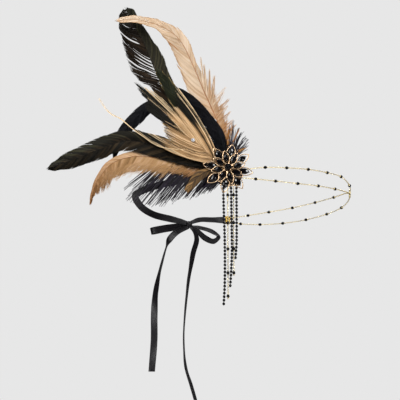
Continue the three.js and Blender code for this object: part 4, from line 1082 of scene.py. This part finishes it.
def leaf_outline(ring, steps=14):
    """Places along and across a petal, once round its rim."""
    share = 0.5 - 0.5 * np.cos(np.linspace(0, math.pi, steps))
    outward = ring["inner"] + share * (ring["tip"] - ring["inner"])
    sideways = ring["half"] * 4 * share * (1 - share)
    return np.concatenate([outward, outward[-2:0:-1]]), np.concatenate([sideways, -sideways[-2:0:-1]])


def marquise(ring, scale, steps=16, turned=0.0):
    """Points of the stone's pointed oval outline."""
    angle = circle(steps) + turned * math.pi / steps
    along = np.cos(angle)
    across = np.sign(np.sin(angle)) * (1 - np.abs(along) ** 2.0)
    return ring["seat"] + along * ring["length"] * scale, across * ring["width"] * scale


def cut_stone(outline, rear, crown):
    """Faceted stone: flat back, thin girdle, two rows of crown facets and a table."""
    levels = [
        (0.0, 0.0, 0), (0.98, 0.0, 0), (1.0, 0.34, 0), (0.72, 0.86, 1), (STONE_TABLE, 1.0, 0), (0.0, 1.0, 0),
    ]
    rows = [outline(scale, rear + rise * crown, turned) for scale, rise, turned in levels]
    return bundle(np.stack(rows)[None], wrap_columns=True)


def petal_parts(ring, turn):
    """One petal: its rim and claws, its seat and its stone."""
    outward, sideways = leaf_outline(ring)
    middle = ring["depth"] + 0.5
    lift = 0.35 * eased(outward, ring["inner"], ring["tip"])
    rim = wire(on_brooch(turn, outward, sideways, middle + lift), PETAL_WIRE, 8, closed=True)
    stone_rear = ring["depth"] + STONE_REAR
    claws = []
    for end in (-1, 1):
        outer = on_brooch(turn, ring["seat"] + 1.06 * end * ring["length"], 0.0, ring["depth"] + 0.4)
        inner = on_brooch(turn, ring["seat"] + 0.8 * end * ring["length"], 0.0, stone_rear + 0.8)
        claws.append(wire([outer, (outer + inner) / 2 - np.array([0, 0.3, 0]), inner], CLAW_RADIUS, 6))
    levels = [(0.0, 0.0), (0.92, 0.0), (0.92, 0.9), (0.0, 0.9)]
    seat = []
    for scale, rise in levels:
        along, across = marquise(ring, scale, 24)
        seat.append(on_brooch(turn, along, across, ring["depth"] + rise))
    seat = bundle(np.stack(seat)[None], wrap_columns=True)

    def outline(scale, forward, turned):
        along, across = marquise(ring, scale, 16, turned)
        return on_brooch(turn, along, across, forward)

    return [rim] + claws, seat, cut_stone(outline, stone_rear, STONE_CROWN)


def disc_rows(radii, depths, sides):
    """Turned piece on the brooch's axis, from radii and depths."""
    angle = circle(sides)
    rows = [on_brooch(0, radius * np.cos(angle), radius * np.sin(angle), depth)
            for radius, depth in zip(radii, depths)]
    return bundle(np.stack(rows)[None], wrap_columns=True)


def round_stone(middle, radius, rear, height, sides=12):
    """Round cut stone that faces the front."""
    x, y, z = middle

    def outline(scale, forward, turned):
        angle = circle(sides) + turned * math.pi / sides
        return xyz(x + radius * scale * np.cos(angle), y - forward, z + radius * scale * np.sin(angle))

    return cut_stone(outline, rear, height)


def make_brooch():
    recesses = [disc_rows(*row) for row in TURNED_PARTS.values()]
    wires = [wire([(x, HANGER_Y, HANGER_Z) for x in HANGER_XS], HANGER_RADIUS, 10)]
    for word, ring in PETAL_RINGS.items():
        for k in range(PETALS_IN_RING):
            parts, seat, stone = petal_parts(ring, ring["turn"] - 360 * k / PETALS_IN_RING)
            wires.extend(parts)
            recesses.append(seat)
            name = f"stone_{word}_{k + 1}"
            piece(name + "_cut", stone, CUT_BLACK, [name], smooth=False)
    front = CLUSTER_REAR + CLUSTER_PLATE_THICK
    radii = (0, CLUSTER_PLATE, CLUSTER_PLATE, 0)
    cluster = [disc_rows(radii, (CLUSTER_REAR, CLUSTER_REAR, front, front), 20)]
    for turn, outward, radius, height in CLUSTER_STONES:
        middle = on_brooch(turn, outward, 0.0, 0.0)
        cluster.append(round_stone(middle, radius, CLUSTER_REAR + CLUSTER_SEAT, height))
    piece("centre_stones_cut", cluster, CUT_BLACK, ["centre_stones"], smooth=False)
    # The recesses take the dark gold of painted shade
    finishes = [ROSE_GOLD] * len(wires) + [GOLD_WITH_PAINTED_SHADE] * len(recesses)
    piece("brooch_frame_wire", wires + recesses, finishes, ["brooch_frame"])


# Clear stone on the golden hackle
FEATHER_STONE = dict(middle=(-43.8, -92, 25.6), radius=1.7, rear=0.0, height=1.5)


def make_feather_stone():
    stone = round_stone(**FEATHER_STONE)
    piece("feather_stone_cut", stone, CRYSTAL, ["feather_stone"], smooth=False)


# Felt backing: a disc with fuzz on its back
BACKING = dict(radius=13.0, rear=-79.5, thick=2.0)
BACKING_SIDES = 72
FUZZ_HAIRS = 900


def make_backing():
    front = BROOCH_BACK_Y - (BACKING["rear"] - BACKING["thick"])
    back = BROOCH_BACK_Y - BACKING["rear"]
    radius = BACKING["radius"]
    outline = [
        (0, back), (4, back), (8, back), (11.5, back), (radius - 0.3, back + 0.1), (radius, back + 0.5),
        (radius, front - 0.5), (radius - 0.3, front - 0.1), (11.5, front), (8, front), (4, front), (0, front),
    ]
    disc = disc_rows(*zip(*outline), BACKING_SIDES)
    angle = draw.uniform(0, 2 * math.pi, FUZZ_HAIRS)
    out = radius - 0.1 - np.abs(draw.normal(0, 3.0, FUZZ_HAIRS))
    root = on_brooch(0, out * np.cos(angle), out * np.sin(angle), back + 0.05)
    tip = root + draw.normal(0, (0.7, 0.1, 0.7), (FUZZ_HAIRS, 3)) + np.array([0, 0.35, 0])
    bend = 0.5 * (root + tip) + draw.normal(0, 0.25, (FUZZ_HAIRS, 3))
    fuzz = strands(root, bend, tip, 0.04, 0.02, draw.uniform(0, 1, FUZZ_HAIRS), rows=4)
    piece("felt_backing_disc", [disc, fuzz], FELT, ["felt_backing"])


# Strings of black beads
BEAD_STRANDS = {
    "bead_strand_1": (-90.3, [(-17.9, -15.2), (-17.6, -33), (-16.8, -60.7), (-16.9, -100), (-17.9, -118.8)]),
    "bead_strand_2": (-90.3, [(-11.3, -15.2), (-10.9, -46.3), (-10.7, -71.6), (-11.5, -90), (-12.4, -103.2)]),
    "bead_strand_3": (-90.3, [(-6.7, -15.2), (-6.6, -42.4), (-6.8, -65), (-7.8, -79)]),
}
STRING_PITCH = 3.05
STRING_BEAD_RADIUS = 1.25
STRING_BEAD_HALF = 1.3
THREAD_RADIUS = 0.16

# Gold chains: hanging ones with the height of each black bead, and rows round the front with a mark at each
# bead. The links are a little larger than real ones, so that they show
CHAIN_STRANDS = {
    "chain_strand_1": (-14.1, -88.7, -113.5, (-22.6, -47, -69.8, -90.7, -110.8)),
    "chain_strand_2": (-9.15, -88.7, -92.3, (-22.4, -47, -69.6, -90.6)),
}
CHAIN_ROWS = {
    "chain_upper_near": [
        (-0.6, -80.4, 2.6, 0), (18.5, -77.8, 5.2, 1), (37.2, -73.1, 6.1, 1), (56.3, -64.8, 7, 1),
        (73.6, -52.5, 7.4, 1), (86.8, -37.4, 7.8, 1), (95.8, -15, 5.6, 1), (97.3, -4.1, 3.6, 0),
    ],
    "chain_lower_near": [
        (-1.5, -80.4, -4.9, 0), (10.2, -78.8, -5.4, 1), (27.4, -75.9, -6.5, 1), (46.8, -69.5, -7, 1),
        (65.2, -59.2, -6.4, 1), (80.7, -45.3, -5.5, 1), (92.2, -24, -2.6, 0), (96.9, -4.2, 0.4, 0),
    ],
    "chain_upper_far": [
        (96.7, 4.1, 3.6, 0), (94, 19, 7.2, 0), (85.3, 39.5, 9, 1), (69, 56.3, 8.4, 1),
        (48.5, 68.8, 6.5, 1), (26.8, 76, 4.2, 1), (7.2, 78.8, 1.6, 1), (-6.1, 78.8, -0.6, 0),
    ],
    "chain_lower_far": [
        (97.3, 4.2, 0.4, 0), (96.4, 15, -1.2, 0), (91.4, 29, -3.5, 1), (79.1, 47, -5, 1),
        (60.7, 62.2, -6.6, 1), (39.5, 72.4, -7.5, 1), (18.4, 77.6, -7.4, 1), (0.2, 79, -6.4, 1),
        (-6.1, 78.8, -5.2, 0),
    ],
}
CHAIN_DROP = 0.3
STATION_RADIUS = 1.45
STATION_HALF = 1.4
STATION_CLEAR = 1.5
CAP = dict(shift=1.55, radius=0.8, half_length=0.35, sides=8)
LINK_PITCH = 1.45
LINK_HALF_LENGTH = 0.95
LINK_HALF_WIDTH = 0.46
LINK_WIRE = 0.16
# Outline of a fire-polished bead: shares of its half length and of its radius
BEAD_OUTLINE = columns("at out", [
    (-1, 0.22), (-0.96, 0.45), (-0.45, 0.9), (0, 1), (0.45, 0.9), (0.96, 0.45), (1, 0.22),
])


def frames_at(path, places):
    """Places and turning frames at lengths along a path."""
    gone = lengths_along(path)
    along_all = unit(np.gradient(path, axis=0))
    centre = np.stack([np.interp(places, gone, column) for column in path.T], axis=-1)
    along = unit(np.stack([np.interp(places, gone, column) for column in along_all.T], axis=-1))
    helper = np.where(np.abs(along[:, 2:3]) > 0.8, [[1.0, 0.0, 0.0]], [[0.0, 0.0, 1.0]])
    side = unit(np.cross(helper, along))
    return centre, along, side, np.cross(along, side)


def chain_links(path, blocked):
    """Cable chain along a path: oval links, each turned a quarter to the one before, with none in a bead."""
    total = lengths_along(path)[-1]
    places = np.arange(LINK_HALF_LENGTH * 0.6, total, LINK_PITCH)
    clear = np.all(np.abs(places[:, None] - np.array(blocked)[None, :]) > STATION_CLEAR, axis=1)
    turn = (np.arange(len(places)) % 2) * math.pi / 2 + math.pi / 4
    places, turn = places[clear], turn[clear]
    centre, along, side, rise = frames_at(path, places)
    flat = side * np.cos(turn)[:, None] + rise * np.sin(turn)[:, None]
    thick = np.cross(along, flat)[:, None, None]
    along = along[:, None]
    flat = flat[:, None]
    cosine = np.cos(circle(14))[None, :, None]
    sine = np.sin(circle(14))[None, :, None]
    bend = np.sign(cosine) * np.abs(cosine) ** 0.8
    loop = centre[:, None] + LINK_HALF_LENGTH * bend * along + LINK_HALF_WIDTH * sine * flat
    outward = unit(cosine * along + sine * flat)[:, :, None]
    around = circle(6)[:, None]
    grid = loop[:, :, None] + LINK_WIRE * np.cos(around) * outward + LINK_WIRE * np.sin(around) * thick
    return bundle(grid, wrap_rows=True, wrap_columns=True)


def faceted_beads(path, places, radius, half_length, sides=10):
    """Fire-polished beads threaded on a path, with a ring of facets at the waist."""
    frames = frames_at(path, np.asarray(places, float))
    centre, along, side, rise = [part[:, None, None] for part in frames]
    at = BEAD_OUTLINE["at"][:, None, None]
    out = BEAD_OUTLINE["out"][:, None, None]
    twist = np.arange(len(at))[:, None] * math.pi / sides
    angle = (circle(sides)[None] + twist)[..., None]
    around = np.cos(angle) * side + np.sin(angle) * rise
    return bundle(centre + half_length * at * along + radius * out * around, wrap_columns=True)


def make_bead_strands():
    for name, (depth, bends) in BEAD_STRANDS.items():
        path = smooth_path([(x, depth, z) for x, z in bends])
        total = lengths_along(path)[-1]
        count = round(total / STRING_PITCH)
        places = (np.arange(count) + 0.5) * total / count
        beads = faceted_beads(path, places, STRING_BEAD_RADIUS, STRING_BEAD_HALF)
        piece(name + "_beads", [beads, wire(path[::4], THREAD_RADIUS, 6)], JET, [name], smooth=False)


def station_chain(name, path, stations):
    """Chain with black beads at its stations and a gold cap on each side of a bead."""
    cap_places = [place + shift for place in stations for shift in (-CAP["shift"], CAP["shift"])]
    caps = faceted_beads(path, cap_places, CAP["radius"], CAP["half_length"], CAP["sides"])
    piece(name + "_links", [chain_links(path, stations), caps], PALE_GOLD, [name])
    beads = faceted_beads(path, stations, STATION_RADIUS, STATION_HALF)
    piece(name + "_beads", beads, JET, [name], smooth=False)


def make_chains():
    foot = HANGER_Z - HANGER_RADIUS - CHAIN_DROP
    for name, (x, depth, end, drops) in CHAIN_STRANDS.items():
        path = smooth_path([(x, HANGER_Y, foot), (x, depth, foot - 4), (x, depth, end / 2), (x, depth, end)])
        station_chain(name, path, [foot - drop + 0.35 for drop in drops])
    for name, rows in CHAIN_ROWS.items():
        path = smooth_path([row[:3] for row in rows])
        gone = lengths_along(path)
        station_chain(name, path, [gone[k * SPAN_STEPS] for k, row in enumerate(rows) if row[3]])


# Ring at the front, and the clamp on the ribbon's far end with its ridges and the eyes for the chains
FRONT_RING = dict(x=97, z=2, half_y=3.2, half_z=3.4, wire=0.65)
CLAMP = dict(left=-14.6, right=-9.6, y=78.7, z=-2.9, half_y=1.3, half_z=3.7, edge=0.4)
CLAMP_RIDGES = dict(xs=(-13.4, -12.1, -10.8), wire=0.22)
CLAMP_EYES = dict(middles=((-8, 78.8, -0.6), (-8, 78.8, -5.2)), radius=1.3, wire=0.42)


def rounded_block(low, high, edge, sides=24):
    """Block along X with rounded edges."""
    middle = (np.array(low) + np.array(high)) / 2
    half = (np.array(high) - np.array(low)) / 2
    angle = circle(sides)
    square = np.stack([np.cos(angle), np.sin(angle)], axis=1)
    square = square / np.maximum(np.abs(square[:, :1]), np.abs(square[:, 1:])) ** 0.85
    levels = [
        (low[0], 0, 0), (low[0], 1, edge), (low[0] + edge, 1, 0),
        (high[0] - edge, 1, 0), (high[0], 1, edge), (high[0], 0, 0),
    ]
    rows = [xyz(x, middle[1] + scale * (half[1] - inset) * square[:, 0],
                middle[2] + scale * (half[2] - inset) * square[:, 1]) for x, scale, inset in levels]
    return bundle(np.stack(rows)[None], wrap_columns=True)


def make_fittings():
    angle = circle(40)
    ring = FRONT_RING
    loop = xyz(ring["x"], ring["half_y"] * np.cos(angle), ring["z"] + ring["half_z"] * np.sin(angle))
    loop = wire(loop, ring["wire"], 10, closed=True)
    piece("front_connector_ring", loop, PALE_GOLD, ["front_connector"])
    front = CLAMP["y"] - CLAMP["half_y"]
    low = (CLAMP["left"], front, CLAMP["z"] - CLAMP["half_z"])
    high = (CLAMP["right"], CLAMP["y"] + CLAMP["half_y"], CLAMP["z"] + CLAMP["half_z"])
    parts = [rounded_block(low, high, CLAMP["edge"])]
    for x in CLAMP_RIDGES["xs"]:
        ridge = [(x, front, CLAMP["z"] + share * CLAMP["half_z"]) for share in (-0.9, 0, 0.9)]
        parts.append(wire(ridge, CLAMP_RIDGES["wire"]))
    for x, y, z in CLAMP_EYES["middles"]:
        eye = xyz(x + CLAMP_EYES["radius"] * np.cos(angle), y, z + CLAMP_EYES["radius"] * np.sin(angle))
        parts.append(wire(eye, CLAMP_EYES["wire"], closed=True))
    piece("ribbon_clamp_crimp", parts, DARK_GOLD, ["ribbon_clamp"])


# Ribbon: a row for each station with its place, the direction of its width and the width itself
RIBBON_WIDTH = 6.3
RIBBON_THICK = 0.5
RIBBON_STEPS = 14
# One face of the ribbon's section: shares of its half width and of its thickness, firm near the edges
RIBBON_SECTION = columns("out thick", [
    (-1, 0.5), (-0.95, 1), (-0.85, 0.8), (-0.4, 0.7), (0, 0.7), (0.4, 0.7), (0.85, 0.8), (0.95, 1), (1, 0.5),
])
WIDE = RIBBON_WIDTH
RIBBONS = {
    "ribbon_band": [
        (-27.2, -80.5, -1.4, 0, 0, 1, WIDE), (-45, -75, -3.2, 0, 0, 1, WIDE),
        (-60, -63.5, -3.7, 0, 0, 1, WIDE), (-73, -52, -3.6, -0.15, 0.1, 1, WIDE),
        (-85, -37.5, -3.4, -0.4, 0.1, 0.9, WIDE),
        (-93, -20, -2.4, -0.75, 0.1, 0.65, WIDE), (-96, -3, -0.8, -0.98, 0, 0.2, WIDE),
        (-94.8, 14, -1.4, -0.9, 0, -0.45, WIDE), (-89.8, 30, -4, -0.6, 0, -0.8, WIDE),
        (-79.8, 46, -6, -0.3, 0, -0.95, WIDE), (-65.6, 58.5, -6.7, -0.1, 0, -1, WIDE),
        (-56.5, 64.5, -7.4, 0, 0, -1, 5.4), (-50.9, 67.9, -8, 0, 0, -1, 4),
        (-49, 69, -8.4, 0, 0, -1, 3.6),
    ],
    "ribbon_far_band": [
        (-46.6, 69.8, -7.6, 0, 0, 1, 3.4), (-44.9, 70, -6.9, 0, 0, 1, 3.6), (-38, 73, -3.9, 0, 0.2, 1, 4.8),
        (-26.6, 76.2, -3.2, 0, 0.3, 0.95, 5.6), (-15, 78.5, -3, 0, 0, 1, WIDE),
    ],
    "bow_loop_left": [
        (-49.2, 71, -9.8, 0, 0, 1, 3.2), (-50.7, 71.4, -10.2, 0, 0, 1, 3.4), (-60, 71.8, -10.8, 0.1, 0, 1, 6),
        (-72, 71.2, -12.7, -0.2, 0, 1, WIDE), (-82, 70.9, -14.8, -0.22, 0, 1, WIDE),
        (-83.8, 72.7, -15.2, -0.22, 0, 1, WIDE), (-82, 74.5, -14.8, -0.22, 0, 1, WIDE),
        (-72, 74.6, -12.7, -0.2, 0, 1, WIDE), (-60, 74.9, -10.8, 0.1, 0, 1, 6),
        (-50.7, 73.4, -10.2, 0, 0, 1, 3.4), (-49.2, 72.4, -9.8, 0, 0, 1, 3.2),
    ],
    "bow_loop_right": [
        (-46.6, 72.6, -9.8, 0, 0.7, 0.7, 3.4), (-45.1, 73.2, -10.2, 0, 0.7, 0.7, 3.6),
        (-37.8, 74.8, -11.1, 0.1, 0.6, 0.8, 5.2), (-27, 75, -14.6, 0.35, 0.6, 0.7, 6),
        (-20.6, 74.8, -19.8, 0.6, 0.8, 0.1, WIDE), (-25, 74.4, -24.2, 0.1, 0.8, -0.6, WIDE),
        (-33.1, 74, -21.2, -0.45, 0.6, -0.65, 6), (-40.3, 73.6, -14.8, -0.5, 0.6, -0.6, 5),
        (-45.1, 73.2, -12, -0.4, 0.7, -0.6, 3.6), (-46.6, 72.6, -10.8, -0.4, 0.7, -0.6, 3.2),
    ],
    "ribbon_tail_left": [
        (-48.6, 69.6, -11.4, -0.4, 0, 0.9, 3), (-49.6, 69.2, -12.5, -0.4, 0, 0.9, 3.4),
        (-56.9, 69.2, -15, -0.5, 0, 0.85, 5.6), (-65, 69.6, -22, -0.75, 0.25, 0.6, WIDE),
        (-69.4, 70.4, -31.5, -0.25, 0.97, 0.1, WIDE), (-74.3, 71, -50.4, -0.4, 0.9, 0, WIDE),
        (-78.9, 71, -73.3, -0.8, 0.6, 0, WIDE), (-80, 70.6, -94.9, -1, 0.15, 0, WIDE),
        (-80, 70.2, -118.5, -1, 0, 0, WIDE), (-82, 70, -147.9, -0.9, 0.3, 0, WIDE),
    ],
    "ribbon_tail_right": [
        (-47, 69, -11, 0.9, 0.2, 0, 2.8), (-46.4, 68.4, -12.2, 0.9, 0.2, 0, 3),
        (-43.4, 67.6, -15.6, 0.6, 0.6, 0.4, 4.6), (-40.8, 67.4, -23.5, 0.7, 0.7, 0, WIDE),
        (-44.3, 67.6, -37.7, 0.7, 0.7, 0, WIDE),
        (-47.7, 68.2, -58.4, 0.4, 0.9, 0, WIDE), (-50.7, 69, -82.5, 0.25, 0.97, 0, WIDE),
        (-52.4, 69.4, -106.6, 0.15, 0.99, 0, WIDE), (-52.6, 69.4, -127.9, 0.2, 0.98, 0, WIDE),
        (-50.4, 69.2, -145.7, 0.4, 0.92, 0, WIDE), (-46, 69, -160, 0.5, 0.87, 0, WIDE),
        (-42, 69, -174.5, 0.5, 0.87, 0, WIDE),
    ],
}
KNOT = dict(middle=(-47.8, 70, -8.8), half=(2.5, 3, 3), inside=0.96, sides=40, rows=17)


def ribbon_parts(rows):
    """Ribbon lofted along its rows, with a thin closed section and firm edges. Also gives its middle line."""
    rows = np.array(rows, float)
    middle = smooth_path(rows[:, :3], RIBBON_STEPS)
    lean = np.stack([blended(column, RIBBON_STEPS) for column in rows[:, 3:6].T], axis=-1)
    half = blended(rows[:, 6], RIBBON_STEPS) / 2
    along = unit(np.gradient(middle, axis=0))
    across = unit(lean - np.sum(lean * along, axis=1, keepdims=True) * along)
    face = np.cross(across, along)
    thick = RIBBON_SECTION["thick"] * RIBBON_THICK / 2
    out = np.concatenate([RIBBON_SECTION["out"], RIBBON_SECTION["out"][::-1]])
    rise = np.concatenate([thick, -thick[::-1]])
    gone = lengths_along(middle)
    ripple = 0.12 * np.sin(gone / 7.0) + 0.05 * np.sin(gone / 4.1 + 1.0)
    section = (middle[:, None] + half[:, None, None] * out[None, :, None] * across[:, None]
               + (rise[None, :, None] + ripple[:, None, None]) * face[:, None])
    ends = [np.repeat(middle[k][None, None], len(out), axis=1) for k in (0, -1)]
    grid = np.concatenate([ends[0], section, ends[1]])
    length = np.concatenate([gone[:1], gone, gone[-1:]])
    part = bundle(grid[None], wrap_columns=True, across=(out * RIBBON_WIDTH / 2)[None, None, :],
                  along=length[None, :, None])
    return part, middle


def make_ribbons():
    for name, rows in RIBBONS.items():
        part, middle = ribbon_parts(rows)
        made = piece(name + "_satin", part, SATIN, [name])
        if "tail" in name:
            float(lengths_along(middle)[-1]) * MM
            [tuple(point) for point in middle * MM]


def make_knot():
    """Ribbon wrapped tightly round the middle of the bow, with pleats."""
    x, y, z = KNOT["middle"]
    half_x, half_y, half_z = KNOT["half"]
    angle = circle(KNOT["sides"])
    share = np.linspace(-1, 1, KNOT["rows"])
    pleat = 1 + 0.045 * np.cos(share * 9.0)
    swell = (0.6 + 0.4 * np.sqrt(np.clip(1 - share**2 * 0.9, 0, 1))) * pleat
    rows = [xyz(np.full(len(angle), x - half_x), y, z)]
    for place, size in zip(share, swell):
        rows.append(xyz(x + place * half_x + 0.25 * np.cos(angle + 0.4),
                        y + half_y * size * np.cos(angle) * KNOT["inside"],
                        z + half_z * size * np.sin(angle) * KNOT["inside"]))
    rows.append(xyz(np.full(len(angle), x + half_x), y, z))
    across = np.concatenate([[-1], share, [1]]) * 3.0
    knot = bundle(np.stack(rows)[None], wrap_columns=True, across=across[None, :, None],
                  along=(angle * 3)[None, None, :])
    piece("bow_knot_satin", knot, SATIN, ["bow_knot"])


# Stage, lights and camera. The surround lights the object with this share of the brightness it shows, and the
# floor shows this much more brightness than the lights give it
SURROUND = "#e7e7e7"
SURROUND_LIGHT = 0.14
FLOOR_GLOW = 0.75


def make_stage():
    """Pale floor below the object, and a plain pale surround."""
    mesh = bpy.data.meshes.new("floor")
    half = FLOOR_HALF * MM
    corners = [(-half, -half, 0), (half, -half, 0), (half, half, 0), (-half, half, 0)]
    mesh.from_pydata(corners, [], [(0, 1, 2, 3)])
    made, tree, shader = new_material("pale_paper_floor")
    seen = put(tree, "LightPath")
    glow = put(tree, "MapRange", {3: 0.0, 4: FLOOR_GLOW}, {0: seen.outputs["Is Camera Ray"]})
    fill(tree, shader, {
        "Base Color": linear("#e2e2e2"), "Roughness": 0.9, "Emission Color": linear(SURROUND),
    }, {"Emission Strength": glow.outputs[0]})
    mesh.materials.append(made)
    floor = add_object("floor", mesh)
    floor.location.z = FLOOR_Z * MM
    world = bpy.data.worlds.new("pale_surround")
    world.use_nodes = True
    tree = world.node_tree
    seen = put(tree, "LightPath")
    strength = put(tree, "MapRange", {3: SURROUND_LIGHT, 4: 1.0}, {0: seen.outputs["Is Camera Ray"]})
    fill(tree, tree.nodes["Background"], {"Color": linear(SURROUND)}, {"Strength": strength.outputs[0]})
    bpy.context.scene.world = world
    bpy.context.scene.view_settings.view_transform = "Standard"


# Soft boxes: place, aim, size in mm and power in watts
LIGHTS = {
    "key": dict(place=(-1000, -1500, 1200), aim=(-40, -40, 20), size=1000, power=36),
    "fill": dict(place=(1400, -1300, 300), aim=(-40, -40, 0), size=1000, power=14),
    "top": dict(place=(0, -300, 1700), aim=(-40, -40, 0), size=1300, power=18),
    "rim": dict(place=(300, 1500, 900), aim=(-40, 0, 20), size=800, power=10),
    "spark_left": dict(place=(-700, -1700, 500), aim=(-14, -90, 0), size=220, power=7),
    "spark_right": dict(place=(600, -1700, 900), aim=(-14, -90, 0), size=220, power=7),
    "spark_low": dict(place=(500, -1800, 0), aim=(-14, -90, 0), size=220, power=5),
}


def make_lights():
    for name, row in LIGHTS.items():
        lamp = bpy.data.lights.new(name, "AREA")
        lamp.energy = row["power"]
        lamp.size = row["size"] * MM
        holder = add_object(name, lamp)
        place = np.array(row["place"], float)
        away = unit(place - np.array(row["aim"], float))
        holder.location = place * MM
        holder.rotation_euler = (math.acos(away[2]), 0, math.atan2(away[0], -away[1]))


def make_camera():
    forward = np.array([0, math.cos(CAMERA_RISE), math.sin(CAMERA_RISE)])
    upward = np.array([0, -math.sin(CAMERA_RISE), math.cos(CAMERA_RISE)])
    aim = np.array([CAMERA_AIM_RIGHT, 0, 0]) + CAMERA_AIM_UP * upward
    lens = bpy.data.cameras.new("camera")
    lens.sensor_width = SENSOR
    lens.lens = LENS
    lens.clip_end = 50
    holder = add_object("camera", lens)
    holder.location = (aim - CAMERA_DISTANCE * forward) * MM
    holder.rotation_euler = (math.pi / 2 + CAMERA_RISE, 0, 0)
    bpy.context.scene.camera = holder


make_camera()
make_ribbons()
make_knot()
make_feathers()
make_brooch()
make_feather_stone()
make_backing()
make_bead_strands()
make_chains()
make_fittings()
make_stage()
make_lights()
